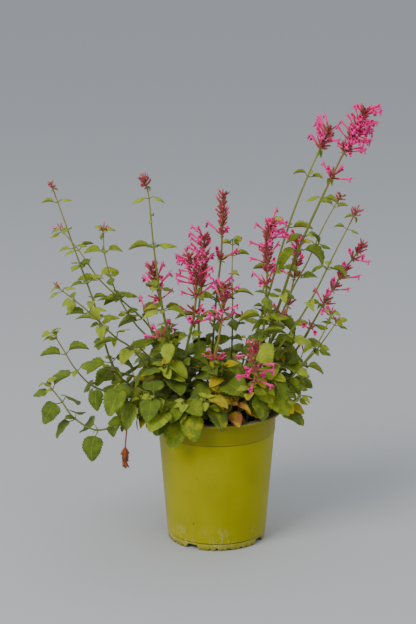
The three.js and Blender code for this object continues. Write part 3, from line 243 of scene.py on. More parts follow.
# Every stem has its thickness at both ends, its points from the compost to its tip, and pairs of
# leaves as distance along the stem, leaf length, turn about the stem and form. A spike of
# flowers starts at a distance along the stem, and its whorls are distance, calyces and open
# flowers. A turn of 0 sets the pair to the left and right.
STEMS = (
    tall_stem("right_tall", (3.8, 1.9), [
        (30, -2), (40, -5, 216), (62, -12, 286), (86, -18, 346), (114, -28, 435), (159, -36, 541),
        (197, -40, 622), (204, -40, 640),
    ], [
        (160, 30, 10, "folded"), (202, 21, 90, "folded"), (271, 34, 0, "arched"),
        (294, 25, 40, "arched"), (353, 13, 0, "lance"),
    ], 376, [
        (386, 6, 4), (427, 6, 3), (444, 6, 4), (454, 6, 4), (464, 6, 4), (474, 6, 3), (484, 6, 1),
    ]),
    tall_stem("right_tall_back", (3.4, 1.6), [
        (22, 26), (30, 30, 214), (52, 40, 275), (78, 54, 360), (104, 68, 448), (132, 80, 521),
        (166, 90, 594),
    ], [
        (160, 28, 90, "folded"), (215, 24, 20, "folded"), (285, 24, 0, "folded"),
        (364, 16, 0, "lance"),
    ], 402, [
        (407, 6, 3), (417, 6, 3), (427, 6, 2), (437, 4, 0),
    ]),
    tall_stem("right_bud", (3, 1.2), [
        (40, 16), (52, 18, 220), (77, 24, 285), (109, 36, 361), (132, 44, 403), (154, 52, 452),
        (180, 60, 498),
    ], [
        (140, 28, 80, "ovate"), (218, 22, 30, "folded"), (271, 18, 0, "lance"),
        (332, 10, 10, "lance"),
    ], 341, [
        (344.4, 4, 0), (349.2, 4, 0),
    ]),
    tall_stem("right_front_bud", (3, 1.2), [
        (38, -22), (56, -26, 230), (87, -34, 292), (116, -46, 339), (140, -60, 388),
        (166, -76, 450), (191, -90, 506),
    ], [
        (95, 36, 80, "broad"), (150, 28, 0, "ovate"), (212, 22, 90, "folded"),
        (271, 22, 0, "arched"), (338, 9, 0, "lance"),
    ], 346, [
        (351, 4, 0), (356, 4, 0), (361, 4, 0), (365.8, 4, 0),
    ]),
    tall_stem("right_low", (3.2, 1.4), [
        (50, 4), (66, 8, 208), (92, 18, 244), (123, 28, 285), (156, 38, 341), (185, 46, 388),
        (212, 50, 426),
    ], [
        (92, 34, 90, "ovate"), (130, 26, 0, "ovate"), (160, 21, 20, "folded"),
    ], 190, [
        (197, 5, 2), (221, 5, 2), (241, 5, 2), (253, 5, 1), (274, 4, 3), (285, 5, 0), (294, 5, 0),
    ]),
    tall_stem("right_thin_front", (2.6, 1.2), [
        (56, -38), (86, -38, 226), (117, -42, 267), (136, -48, 294), (152, -56, 327),
        (161, -60, 354),
    ], [
        (78, 26, 0, "ovate"), (108, 22, 90, "folded"), (146, 18, 0, "folded"),
        (196, 11, 80, "lance"),
    ]),
    tall_stem("right_thin_back", (2.6, 1.2), [
        (62, -8), (90, 0, 218), (121, 10, 252), (146, 16, 279), (175, 20, 320),
    ], [
        (70, 26, 90, "ovate"), (104, 22, 0, "folded"), (138, 16, 90, "folded"),
        (176, 11, 0, "lance"),
    ]),
    tall_stem("centre_left_back", (3.4, 2), [
        (-10, 8), (-22, 6, 237), (-26, 8, 322), (-23, 14, 368), (-20, 18, 408), (-17, 20, 446),
    ], [
        (115, 30, 90, "ovate"), (150, 24, 20, "folded"), (180, 17, 90, "folded"),
    ], 188, [
        *even_whorls(195, 262, 7, 5, 1),
    ]),
    tall_stem("centre_left_front", (3.4, 2), [
        (-20, -14), (-36, -20, 230), (-44, -24, 280), (-35, -28, 328), (-29, -34, 375),
        (-31, -38, 407), (-39, -40, 430),
    ], [
        (100, 28, 0, "ovate"), (136, 20, 60, "folded"),
    ], 146, [
        (154, 4, 3), (170, 5, 2), (197, 4, 3), *even_whorls(214, 252, 4, 6, 3),
    ]),
    tall_stem("centre_red", (3.2, 1.4), [
        (4, 20), (-6, 30, 240), (-4, 38, 303), (1, 46, 360), (6, 54, 402), (8, 62, 438),
        (9, 72, 506),
    ], [
        (130, 26, 90, "folded"), (168, 18, 0, "folded"),
    ], 176, [
        (184, 5, 1), (227, 5, 2), (240, 5, 1), (251, 5, 2), (264, 5, 2), (276, 5, 0), (286, 5, 0),
        (296, 5, 0), (306, 5, 0), (316, 5, 0), (326, 5, 0),
    ]),
    tall_stem("centre_thin", (2.4, 1.1), [
        (16, 44), (22, 62, 250), (24, 86, 328), (23, 108, 365), (24, 122, 393), (24, 130, 415),
    ], [
        (130, 26, 90, "folded"), (170, 22, 0, "folded"), (202, 17, 90, "folded"),
        (230, 13, 0, "lance"), (246, 13, 60, "lance"),
    ]),
    tall_stem("centre_low", (3, 1.8), [
        (0, -34), (-4, -46, 240), (-3, -54, 287), (3, -64, 319), (8, -76, 360), (12, -85, 401),
    ], [
        (58, 34, 20, "broad"), (88, 28, 90, "ovate"),
    ], 98, [
        (106, 4, 3), (170, 4, 3), (187, 4, 3), (200, 5, 1), (211, 5, 2), (221, 5, 0),
    ]),
    tall_stem("front_cluster", (3, 1.8), [
        (22, -42), (34, -60, 212), (46, -82, 242), (53, -93, 270), (51, -96, 318),
    ], [
        (44, 32, 0, "broad"), (84, 22, 90, "ovate"),
    ], 98, [
        (106, 4, 4), (118, 4, 3), (130, 5, 2), (142, 5, 1), (151, 5, 0),
    ]),
    tall_stem("centre_right", (3.4, 1.8), [
        (24, -18), (44, -26, 240), (65, -30, 314), (70, -33, 378), (71, -36, 414), (71, -37, 449),
        (76, -38, 478),
    ], [
        (80, 36, 10, "broad"), (126, 40, 80, "hanging"), (166, 26, 0, "folded"),
        (198, 20, 90, "folded"),
    ], 208, [
        (216, 4, 3), (234, 5, 0), *even_whorls(248, 299, 6, 6, 2),
    ]),
    tall_stem("right_behind", (3, 1.6), [
        (36, 40), (60, 44, 240), (98, 42, 319), (104, 46, 337), (116, 60, 392), (117, 70, 433),
    ], [
        (100, 28, 0, "folded"), (128, 22, 90, "folded"),
    ], 140, [
        (147, 5, 0), (173, 5, 0), (214, 5, 1), (231, 5, 1), (243, 5, 1), (255, 5, 2), (265, 5, 1),
    ]),
    tall_stem("left_tall_bud", (3.2, 1.3), [
        (-30, -24), (-42, -26, 226), (-60, -32, 274), (-76, -44, 353), (-88, -56, 446),
        (-94, -66, 519), (-100, -72, 549),
    ], [
        (130, 30, 80, "ovate"), (180, 24, 0, "folded"), (212, 22, 80, "folded"),
        (276, 25, 0, "lance"), (318, 10, 80, "lance"), (349, 13, 0, "lance"),
    ], 359, [
        *even_whorls(364, 379, 4, 4, 0),
    ]),
    tall_stem("left_pink", (2.8, 1.5), [
        (-34, 0), (-48, 2, 240), (-70, -4, 308), (-81, -12, 360), (-88, -16, 387), (-92, -20, 413),
    ], [
        (110, 28, 0, "ovate"), (146, 22, 90, "folded"), (172, 17, 0, "folded"),
    ], 181, [
        (188, 4, 3), (206, 5, 2), (216, 5, 2), (226, 5, 1), (235, 5, 0),
    ]),
    tall_stem("far_left_tall", (3, 1.2), [
        (-52, 10), (-84, 4, 206), (-128, -6, 231), (-150, -8, 262), (-162, -8, 300),
        (-176, -8, 356), (-201, -8, 430), (-219, -8, 485), (-234, -10, 530),
    ], [
        (138, 32, 0, "ovate"), (172, 28, 90, "ovate"), (204, 22, 0, "folded"),
        (232, 20, 80, "folded"), (260, 16, 0, "folded"), (288, 18, 80, "folded"),
        (314, 14, 0, "folded"), (340, 15, 80, "ovate"), (384, 15, 0, "lance"),
    ], 391, [
        *even_whorls(396, 411, 4, 4, 0),
    ]),
    tall_stem("left_back", (2.8, 1.1), [
        (-44, 28), (-66, 38, 250), (-100, 48, 306), (-134, 58, 337), (-171, 66, 370),
        (-201, 76, 411), (-229, 82, 444),
    ], [
        (115, 30, 90, "ovate"), (155, 26, 0, "folded"), (195, 25, 80, "folded"),
        (240, 22, 0, "folded"), (266, 16, 80, "folded"), (292, 16, 0, "folded"),
        (328, 11, 40, "lance"),
    ]),
    tall_stem("left_middle", (2.8, 1.1), [
        (-40, 14), (-70, 22, 262), (-116, 24, 312), (-140, 28, 350), (-152, 32, 378),
        (-162, 38, 417), (-163, 40, 452),
    ], [
        (125, 28, 0, "ovate"), (176, 26, 80, "ovate"), (206, 22, 0, "folded"),
        (234, 20, 90, "folded"), (274, 20, 10, "folded"), (302, 11, 80, "lance"),
    ]),
    tall_stem("left_front", (2.8, 1.1), [
        (-40, -30), (-74, -38, 236), (-119, -48, 296), (-143, -60, 318), (-179, -76, 359),
        (-197, -84, 377), (-221, -90, 398),
    ], [
        (105, 32, 0, "ovate"), (142, 30, 80, "ovate"), (176, 26, 0, "ovate"),
        (206, 24, 90, "folded"), (234, 21, 0, "folded"), (261, 20, 80, "folded"),
        (284, 12, 0, "lance"),
    ]),
    tall_stem("left_low", (2.6, 1.1), [
        (-58, -14), (-78, -19, 204), (-100, -25, 211), (-130, -30, 222), (-162, -36, 232),
        (-182, -42, 244), (-202, -50, 270), (-215, -56, 295), (-231, -60, 325),
    ], [
        (92, 32, 80, "ovate"), (135, 32, 90, "ovate"), (175, 28, 0, "ovate"),
        (207, 24, 0, "folded"), (234, 15, 80, "ovate"),
    ]),
    tall_stem("left_trailing", (2.8, 1.3), [
        (-48, -40), (-66, -49, 205), (-86, -57, 209), (-110, -63, 205), (-135, -66, 193),
        (-171, -71, 184), (-203, -74, 204), (-221, -75, 231), (-240, -76, 256),
    ], [
        (118, 28, 80, "ovate"), (145, 38, 60, "hanging"), (182, 30, 20, "broad"),
        (213, 34, 40, "broad"), (236, 22, 10, "ovate"),
    ]),
)

# Short leafy shoots of the low bush. Their pairs are leaf length, turn and form, at even shares
# of the shoot's length.
SHOOT_THICK = (3, 1.6)
SHOOT_SHARES = (0.42, 0.69, 0.94)
SHOOTS = (
    ("bush_left_back", ((-56, 34), (-78, 36, 206), (-110, 36, 227), (-160, 34, 244)),
     ((40, 90, "broad"), (38, 20, "broad"), (32, 80, "ovate"))),
    ("bush_left_front", ((-42, -50), (-58, -61, 202), (-76, -68, 211), (-104, -74, 228),
                         (-138, -72, 252)),
     ((40, 80, "broad"), (42, 20, "hanging"), (42, 70, "hanging"))),
    ("bush_back_left", ((-36, 50), (-66, 56, 220), (-113, 62, 268)),
     ((40, 0, "broad"), (36, 90, "broad"))),
    ("bush_front_left", ((-32, -56), (-43, -69, 202), (-54, -79, 211), (-74, -86, 226),
                         (-94, -92, 240)),
     ((42, 70, "broad"), (44, 10, "hanging"), (36, 70, "broad"))),
    ("bush_middle_left", ((-56, -30), (-62, -24, 220), (-70, -24, 244), (-74, -50, 272)),
     ((42, 20, "broad"), (40, 90, "broad"), (32, 20, "ovate"))),
    ("bush_front", ((-22, -60), (-27, -74, 203), (-34, -87, 213), (-46, -98, 232)),
     ((42, 20, "hanging"), (40, 80, "hanging"), (30, 10, "broad"))),
    ("bush_front_centre", ((-4, -58), (-10, -82, 211), (-17, -100, 238)),
     ((40, 10, "hanging"), (38, 80, "hanging"), (30, 0, "broad"))),
    ("bush_centre", ((10, -22), (8, -42, 230), (7, -58, 276)),
     ((40, 80, "broad"), (44, 0, "broad"), (34, 80, "broad"))),
    ("bush_front_right", ((42, -50), (48, -56, 224), (62, -66, 262)),
     ((40, 20, "hanging"), (42, 80, "hanging"), (32, 10, "broad"))),
    ("bush_middle_right", ((54, -48), (64, -50, 222), (78, -60, 262)),
     ((40, 80, "broad"), (42, 10, "broad"), (32, 80, "ovate"))),
    ("bush_right", ((58, 26), (76, 36, 226), (100, 40, 274)),
     ((40, 0, "broad"), (36, 90, "broad"), (30, 10, "ovate"))),
    ("bush_right_low", ((62, 36), (73, 42, 204), (88, 51, 211), (108, 56, 216), (128, 56, 222)),
     ((32, 90, "broad"), (30, 10, "ovate"), (26, 80, "ovate"))),
    ("bush_right_front", ((66, -20), (79, -30, 203), (94, -44, 210), (116, -58, 228)),
     ((34, 80, "broad"), (32, 0, "ovate"), (26, 80, "ovate"))),
    ("bush_back", ((-10, 66), (-14, 88, 215), (-24, 104, 266)),
     ((42, 0, "hanging"), (40, 90, "broad"), (32, 0, "ovate"))),
    ("bush_back_right", ((28, 62), (32, 76, 203), (37, 92, 220), (46, 112, 268)),
     ((42, 90, "hanging"), (38, 0, "broad"))),
    ("bush_far_back_left", ((-50, 46), (-62, 58, 204), (-84, 77, 217), (-112, 96, 250)),
     ((40, 90, "broad"), (38, 0, "broad"))),
    ("bush_far_back_right", ((48, 50), (60, 62, 204), (80, 77, 219), (104, 92, 260)),
     ((40, 20, "broad"), (36, 90, "broad"))),
)

# The shoot with yellow and brown leaves at the front of the compost
WITHERED = "withered"
WITHERED_SHOOT = (
    WITHERED, ((12, -62), (15, -66, 200), (22, -72, 224)),
    ((30, 10, "folded"), (30, 80, "ovate"), (22, 20, "folded")),
)

# The dry stalk hangs from a stem, at a distance along it
DRY_STALK = {
    "name": "dry_stalk", "thick": (1.8, 1.3), "host": "left_trailing", "distance": 101,
    "offsets": ((0, 0, -1.1), (-1, 0, -16), (-3, -1, -40), (-3, -1, -66)),
    "spike": {"start": 4, "whorls": (*even_whorls(43, 58, 4, 4, 0), (63, 3, 0))},
}

# For each crowded spike the distance from which more flowers grow, how many for each layer of a
# whorl, and the way that most of them face, in degrees from the right
PLUMES = {
    "right_tall": (420, 3, -20), "right_tall_back": (400, 1, 190),
    "centre_left_front": (205, 1, -130), "centre_left_back": (230, 1, 120),
    "centre_right": (275, 2, 0), "right_behind": (250, 1, -60),
}

# Young heads at the tips of thin stems: calyces and open flowers
TIP_HEADS = {
    "left_back": (6, 0), "left_middle": (6, 0), "left_front": (3, 0), "right_thin_back": (4, 1),
    "right_thin_front": (5, 1),
}

# Heads on side stalks: stem, distance of the stalk along it, tip, calyces and open flowers
SIDE_HEADS = (
    ("left_tall_bud", 112, (-80, -50, 318), 9, 3), ("left_middle", 118, (-104, 18, 338), 2, 1),
    ("right_behind", 112, (98, 60, 314), 9, 4), ("right_behind", 92, (82, 58, 301), 8, 1),
    ("right_low", 132, (137, 18, 312), 5, 2), ("right_low", 92, (112, 22, 289), 4, 0),
    ("right_thin_back", 80, (128, 22, 279), 4, 0), ("centre_low", 96, (-4, -78, 292), 9, 0),
    ("centre_thin", 120, (40, 60, 318), 5, 1), ("left_back", 130, (-66, 34, 306), 6, 1),
)

# Small leaves: shares along a shoot where they grow, height and radius of the dense middle of the
# plant, share kept outside it, steps below the lowest pair, and least length and drawn part
SHOOT_FILL = (0.28, 0.52, 0.8)
STEM_FILL_HEIGHT = 285
INNER_RADIUS = 112
OUTER_SHARE = 0.45
LOW_FILL_START, LOW_FILL_STEP = 16, 17
NARROW_SHARE = 0.4
AXIL_BLADES = (9, 14)
FILL_BLADES = {"shoot": (18, 15), "middle": (18, 12), "low": (17, 13), "tip": (9, 6)}
YOUNG_TIP = 12

# Spot at the front right where the compost shows between the leaves, and its radius
OPEN_SPOT, OPEN_RADIUS = (44, -70, 205), 27

# Heads still in bud: size of their calyces, and how far these open outwards
BUD_HEADS = {
    "far_left_tall": (0.55, 0.05), "left_tall_bud": (0.8, 0.35), "right_front_bud": (0.95, 0.35),
    "right_bud": (0.75, 0.35),
}

# Stretches of a spike whose whorls don't show, as distances along the stem. One that reaches
# past the tip takes the stem's end away too.
BARE_STRETCHES = {
    "far_left_tall": ((0, 405),), "left_tall_bud": ((0, 368),), "right_front_bud": ((0, 360),),
    "centre_red": ((236, 258), (322, 400)),
}

# Stems are bare of small leaves for this far below a head in bud
BARE_BELOW_BUD = 60

# Spikes with a smaller share of the extra calyces, heads whose flowers bend down by a share, a
# whorl whose flowers are all buds, and the share of calyces with a bud in them
SPARSE_SPIKES, SPARSE_SHARE = ("centre_red", "far_left_tall"), 0.5
DROOPING_HEADS = {"front_cluster": 0.6, "left_tall_bud": 0.4}
SHUT_WHORL = ("centre_low", 106)
BUD_SHARE = 0.25

# Share of extra calyces on the dry stalk, and how far they are shut
DRY_CALYX_SHARE, DRY_SHUT = 0.6, 0.5

# Floor, lights and camera, in metres. The focal length and the picture's height are in pixels.
FLOOR_RADIUS = 14
LIGHT_AIM = (0, 0, 0.3)
KEY_PLACE, KEY_SIZE = (-1.7, -1.9, 2.3), 1.6
FILL_PLACE, FILL_SIZE = (2.2, -1.3, 1.3), 1.8
BACK_PLACE, BACK_SIZE, BACK_SHARE = (0.8, 1.2, 2.2), 1.4, 0.8
CAMERA_SIDE = -0.0125
FOCAL_LENGTH, PICTURE_HEIGHT = 1946, 624
SENSOR_HEIGHT = 36


# The plant's growth: lines, places taken, leaves and whorls

def add(a, b):
    return (a[0] + b[0], a[1] + b[1], a[2] + b[2])


def scale(a, k):
    return (a[0] * k, a[1] * k, a[2] * k)


def mix(a, b, t):
    return add(scale(a, 1 - t), scale(b, t))


def dot(a, b):
    return a[0] * b[0] + a[1] * b[1] + a[2] * b[2]


def cross(a, b):
    return (
        a[1] * b[2] - a[2] * b[1],
        a[2] * b[0] - a[0] * b[2],
        a[0] * b[1] - a[1] * b[0],
    )


def size_of(a):
    return math.sqrt(dot(a, a))


def unit(a):
    return scale(a, 1 / size_of(a))


def clamp(value, low, high):
    return min(high, max(low, value))


def draws(seed):
    """Seeded draws from 0 to 1."""
    state = seed

    def draw():
        nonlocal state
        state = (state * 1664525 + 1013904223) & 0xFFFFFFFF
        return state / 4294967296

    return draw


def spline_point(points, t):
    """A point of the smooth line through points, at a share t of its spans."""
    last = len(points) - 1
    place = last * t
    i = math.floor(place)
    weight = place - i
    if weight == 0 and i == last:
        i, weight = last - 1, 1
    p1, p2 = points[i], points[i + 1]
    p0 = points[i - 1] if i > 0 else add(scale(p1, 2), scale(p2, -1))
    p3 = points[i + 2] if i + 2 <= last else add(scale(p2, 2), scale(p1, -1))
    out = []
    for a, b, c, d in zip(p0, p1, p2, p3):
        start, end = 0.5 * (c - a), 0.5 * (d - b)
        square, cube = -3 * b + 3 * c - 2 * start - end, 2 * b - 2 * c + start + end
        out.append(b + start * weight + square * weight ** 2 + cube * weight ** 3)
    return tuple(out)


class Line:
    """The smooth middle line of a stem, measured from the compost."""

    def __init__(self, points):
        steps = LINE_STEPS * (len(points) - 1)
        self.places = [spline_point(points, i / steps) for i in range(steps + 1)]
        self.run = [STEM_START - COMPOST_TOP]
        for a, b in zip(self.places, self.places[1:]):
            self.run.append(self.run[-1] + size_of(add(b, scale(a, -1))))
        self.length = self.run[-1]

    def point(self, distance):
        d = clamp(distance, self.run[0], self.length)
        i = clamp(bisect.bisect_left(self.run, d), 1, len(self.run) - 1)
        t = (d - self.run[i - 1]) / (self.run[i] - self.run[i - 1])
        return mix(self.places[i - 1], self.places[i], t)

    def axes(self, distance):
        """Direction of the line, its right-hand side and its far side."""
        along = unit(add(self.point(distance + 3), scale(self.point(distance - 3), -1)))
        side = unit(cross((0, 1, 0), along))
        return along, side, cross(along, side)


def stem_radius(stem, distance):
    """From the middle of a square stem to its corners."""
    foot, tip = stem["thick"]
    return 0.6 * (foot + (tip - foot) * distance / stem["line"].length)


def turned_axes(heading, slope, roll):
    """Axes of a leaf or flower from its angles in radians."""
    x = (
        math.cos(heading) * math.cos(slope),
        math.sin(heading) * math.cos(slope),
        math.sin(slope),
    )
    y = (-math.sin(heading), math.cos(heading), 0)
    z = cross(x, y)
    return (
        x,
        add(scale(y, math.cos(roll)), scale(z, math.sin(roll))),
        add(scale(z, math.cos(roll)), scale(y, -math.sin(roll))),
    )


def placed(item, p):
    x, y, z = item["axes"]
    return add(item["base"], add(add(scale(x, p[0]), scale(y, p[1])), scale(z, p[2])))


def half_width(form, t):
    """Half the width of a leaf of width 1 at a share t of its length."""
    return 0.5 * math.sin(math.pi * clamp(t, 0, 1) ** form["near"]) ** form["full"]


def leaf_point(leaf, t, s):
    """A point of the leaf's face: t along the rib, s from -1 to 1 across."""
    form = leaf["form"]
    half = half_width(form, t) * abs(s)
    bend = form["bend"] * t
    sign = (s > 0) - (s < 0)
    lift = form["fold"] * half + form["wave"] * math.sin(14 * t + sign) * abs(s)
    return (
        leaf["length"] * (math.sin(bend) / form["bend"] + lift * math.sin(bend)),
        leaf["length"] * form["width"] * half * sign,
        leaf["length"] * (lift * math.cos(bend) - (1 - math.cos(bend)) / form["bend"]),
    )


class Room:
    """Places already taken, in cells, with the stem that each belongs to and what it is."""

    def __init__(self):
        self.cells = {}

    @staticmethod
    def cell(p):
        return tuple(math.floor(c / CLEARANCE) for c in p)

    def take(self, points, owner, kind):
        for p in points:
            i, j, k = self.cell(p)
            for a in (i - 1, i, i + 1):
                for b in (j - 1, j, j + 1):
                    for c in (k - 1, k, k + 1):
                        self.cells.setdefault((a, b, c), []).append((p, owner, kind))

    def is_free(self, points, owner, kind):
        for p in points:
            if not clear_of_pot(p):
                return False
            for other, its_owner, its_kind in self.cells.get(self.cell(p), ()):
                if math.dist(p, other) < room_to(its_owner == owner, its_kind, kind):
                    return False
        return True


def clear_of_pot(p):
    radius = math.hypot(p[0], p[1])
    if LIP_ZONE[0] < radius < LIP_ZONE[1]:
        return p[2] > POT_HEIGHT + LIP_CLEARANCE
    return p[2] > (LEAST_HEIGHT if radius > RIM_RADIUS else COMPOST_TOP + COMPOST_CLEARANCE)


def room_to(same_stem, its_kind, kind):
    """Room that a leaf, flower or calyx keeps to another thing."""
    if kind == "filler":
        return FILL_CLEARANCE
    if not same_stem or (kind == "leaf" and its_kind != "stem"):
        return CLEARANCE
    if its_kind != "stem":
        return WHORL_CLEARANCE
    return OWN_STEM_CLEARANCE if kind == "leaf" else 0


def leaf_samples(leaf):
    rows = math.ceil(leaf["length"] / SAMPLE_STEP)
    across = math.ceil(leaf["length"] * leaf["form"]["width"] / SAMPLE_STEP)
    points = [mix(leaf["root"], leaf["base"], 0.6), leaf["base"]]
    for i in range(1, rows + 1):
        t = i / rows
        share = 2 * half_width(leaf["form"], t - 0.5 / rows)
        columns = max(1, math.floor(across * share + 0.5))
        for j in range(columns + 1):
            points.append(placed(leaf, leaf_point(leaf, t, 2 * j / columns - 1)))
    return points


def place_leaf(room, stem, distance, blade, turn, form_name, rules, draw):
    """A leaf at its first place that is clear of everything else. A small one also keeps off the
    spot where the compost shows."""
    kind, follow, (least, share) = rules["kind"], rules["follow"], rules["stalk"]
    short_droop, long_droop, swing = rules["droop"]
    form = FORMS.get(form_name, FORMS["ovate"])
    root = stem["line"].point(distance)
    along, side, far = stem["line"].axes(distance)
    rise = math.radians(rules["rise"][0] + rules["rise"][1] * draw())
    droop = (long_droop if blade > DROOPING_LEAF else short_droop) + swing * (draw() - 0.5)
    roll = math.radians(rules["roll"] * (draw() - 0.5))
    for shrink, tip, shift in itertools.product(rules["shrinks"], rules["tips"], rules["turns"]):
        angle = math.radians(turn + shift)
        out = add(scale(side, math.cos(angle)), scale(far, math.sin(angle)))
        petiole = add(scale(out, math.cos(rise)), scale(along, math.sin(rise)))
        heading = math.atan2(petiole[1], petiole[0])
        slope = follow * math.asin(clamp(petiole[2], -1, 1)) + math.radians(droop + tip)
        length = blade * shrink
        leaf = {
            "form": form, "form_name": form_name, "length": length, "root": root,
            "base": add(root, scale(petiole, least + share * length)), "along": along,
            "axes": turned_axes(heading, slope, roll), "turn": (roll, -slope, heading),
        }
        if dot(leaf["axes"][0], petiole) <= rules["least_turn"]:
            continue
        samples = leaf_samples(leaf)
        hides = kind == "filler" and min(math.dist(p, OPEN_SPOT) for p in samples) < OPEN_RADIUS
        if not hides and room.is_free(samples, stem["name"], kind):
            room.take(samples, stem["name"], kind)
            return leaf
    return None


def spike_item(stem, distance, turn, spread, reach, kind):
    """A calyx or flower on the spike, out from the stem's axis by an angle."""
    along, side, far = stem["line"].axes(distance)
    out = add(scale(side, math.cos(turn)), scale(far, math.sin(turn)))
    direction = add(scale(along, math.cos(spread)), scale(out, math.sin(spread)))
    heading = math.atan2(direction[1], direction[0])
    slope = math.asin(clamp(direction[2], -1, 1))
    return {
        "kind": kind, "length": reach, "turn": (0, -slope, heading),
        "base": add(
            stem["line"].point(distance), scale(out, 0.7 * stem_radius(stem, distance))
        ),
        "axes": turned_axes(heading, slope, 0),
    }


def place_on_spike(room, stem, distance, turn, spread, reach, kind):
    item = spike_item(stem, distance, turn, spread, reach, kind)
    samples = [placed(item, (d, 0, 0)) for d in range(3, math.floor(reach) + 1, 3)]
    if kind == "flower":
        samples.append(placed(item, (reach - 1, 0, -4)))
    if not room.is_free(samples, stem["name"], kind):
        return None
    room.take(samples, stem["name"], kind)
    return item


def grow_spike(room, stem, draw):
    """Whorls of four places, with a second layer of calyces above a crowded one."""
    line, spike = stem["line"], stem["spike"]
    spike_length = line.length - spike["start"]
    layers = []
    for distance, count, flowers in spike["whorls"]:
        layers.append((distance, min(count, 4), flowers))
        layers.append((distance + LAYER_STEP, count - 4, 0))
    offset = 90 * draw()
    stem["whorls"] = []
    for distance, count, flowers in layers:
        if count <= 0 or distance >= line.length - WHORL_HALF:
            continue
        taper = 1 - 0.25 * max(0, (distance - spike["start"]) / spike_length - 0.5)
        first = math.floor(4 * draw())
        offset += 45 + 12 * (draw() - 0.5)
        places = []
        for quarter in range(4):
            order = (quarter + first) % 4
            turn = math.radians(offset + 90 + 90 * quarter + 16 * (draw() - 0.5))
            bloom_reach = FLOWER_LENGTH * taper * (0.86 + 0.28 * draw())
            bud_reach = CALYX_LENGTH * taper * (0.85 + 0.3 * draw())
            wide = math.radians(42 + 28 * draw())
            steep = math.radians(26 + 16 * draw())
            if order < flowers:
                places.append((turn, wide, bloom_reach, "flower"))
            elif order < count:
                places.append((turn, steep, bud_reach, "calyx"))
        items = [place_on_spike(room, stem, distance, *place) for place in places]
        stem["whorls"].append({
            "distance": distance, "offset": offset, "taper": taper, "more": [],
            "items": [item for item in items if item],
        })


def take_line(room, stem):
    line = stem["line"]
    samples = []
    d = line.run[0]
    while d < line.length:
        samples.append(line.point(d))
        d += 3
    room.take(samples, stem["name"], "stem")


def grow_plant():
    """All stems with their leaves and whorls, and the dry stalk, in millimetres."""
    room = Room()
    shoots = [
        {"name": name, "thick": SHOOT_THICK, "points": points, "pairs": pairs}
        for name, points, pairs in (*SHOOTS, WITHERED_SHOOT)
    ]
    stems = [dict(stem) for stem in STEMS] + shoots
    for stem in stems:
        knots = [p if len(p) == 3 else (*p, STEM_START) for p in stem["points"]]
        stem["line"] = Line(knots)
        take_line(room, stem)
    for shoot in shoots:
        shoot["pairs"] = [
            (shoot["line"].length * share, *pair)
            for share, pair in zip(SHOOT_SHARES, shoot["pairs"])
        ]
    host = next(stem for stem in stems if stem["name"] == DRY_STALK["host"])
    hook = host["line"].point(DRY_STALK["distance"])
    dry = dict(DRY_STALK, line=Line([add(hook, offset) for offset in DRY_STALK["offsets"]]))
    take_line(room, dry)
    for index, stem in enumerate([*(s for s in stems if "spike" in s), dry]):
        grow_spike(room, stem, draws(SEED + 17 * index))
    for index, stem in enumerate(stems):
        draw = draws(SEED + 1000 + 31 * index)
        stem["nodes"] = []
        for distance, blade, turn, form_name in stem["pairs"]:
            offset = turn + 14 * (draw() - 0.5)
            leaves = [
                place_leaf(
                    room, stem, distance, blade, offset + 90 + 90 * quarter, form_name,
                    PAIR_LEAF, draw)
                for quarter in (3, 1)
            ]
            stem["nodes"].append({
                "distance": distance, "offset": offset,
                "leaves": [leaf for leaf in leaves if leaf],
            })
    return stems, dry, room


# More flowers, leaves and calyces than the solids carry, in the room that is left

def grow_more_flowers(room, stems):
    """Flowers of the crowded spikes beyond those that the solids have triangles for."""
    for index, stem in enumerate(stems):
        start, count, facing = PLUMES.get(stem["name"], (0, 0, 0))
        draw = draws(PLUME_SEED + 41 * index)
        for whorl in stem.get("whorls", ()):
            for _ in range(count if whorl["distance"] > start else 0):
                add_bloom(room, stem, whorl, facing, draw)


def add_bloom(room, stem, whorl, facing, draw):
    """One more flower of a whorl, if one of six tries has room."""
    for _ in range(6):
        turn = math.radians(facing + 230 * (draw() - 0.5))
        spread = math.radians(36 + 46 * draw())
        reach = FLOWER_LENGTH * whorl["taper"] * (0.84 + 0.3 * draw())
        bloom = spike_item(stem, whorl["distance"] + 1.5, turn, spread, reach, "flower")
        samples = [placed(bloom, (d, 0, 0)) for d in range(10, math.floor(reach) + 1, 3)]
        if room.is_free(samples, stem["name"], "filler"):
            room.take(samples, stem["name"], "filler")
            whorl["more"].append(bloom)
            return


def young_head(name, line, calyces, flowers, draw):
    """A short head of two whorls at the end of a line."""
    stem = {"name": name, "thick": (1.5, 1.1), "line": line}
    stem["whorls"] = [
        {
            "distance": line.length - 1 - 4 * low, "offset": 45 * low, "taper": 1,
            "items": [], "more": [],
        }
        for low in range(2)
    ]
    for i in range(calyces + flowers):
        whorl = stem["whorls"][i % 2]
        turn = math.radians(whorl["offset"] + 90 * (i // 2) + 20 * (draw() - 0.5))
        in_bloom = i >= calyces
        full = 0.95 * FLOWER_LENGTH if in_bloom else 0.72 * CALYX_LENGTH
        reach = full * (0.85 + 0.3 * draw())
        spread = math.radians((46 if in_bloom else 22) + 26 * draw())
        kind = "flower" if in_bloom else "calyx"
        whorl["more"].append(spike_item(stem, whorl["distance"], turn, spread, reach, kind))
    return stem


def grow_young_heads(stems):
    """Heads at the tips of thin stems and on side stalks, with whether each has a stalk."""
    for index, stem in enumerate(stems):
        draw = draws(HEAD_SEED + 23 * index)
        stem["heads"] = []
        if stem["name"] in TIP_HEADS:
            head = young_head(stem["name"], stem["line"], *TIP_HEADS[stem["name"]], draw)
            stem["heads"].append((head, False))
        for host, distance, tip, *counts in SIDE_HEADS:
            if host == stem["name"]:
                foot = stem["line"].point(distance)
                bow = add(mix(foot, tip, 0.5), (0, 0, -3))
                head = young_head(stem["name"], Line([foot, bow, tip]), *counts, draw)
                stem["heads"].append((head, True))


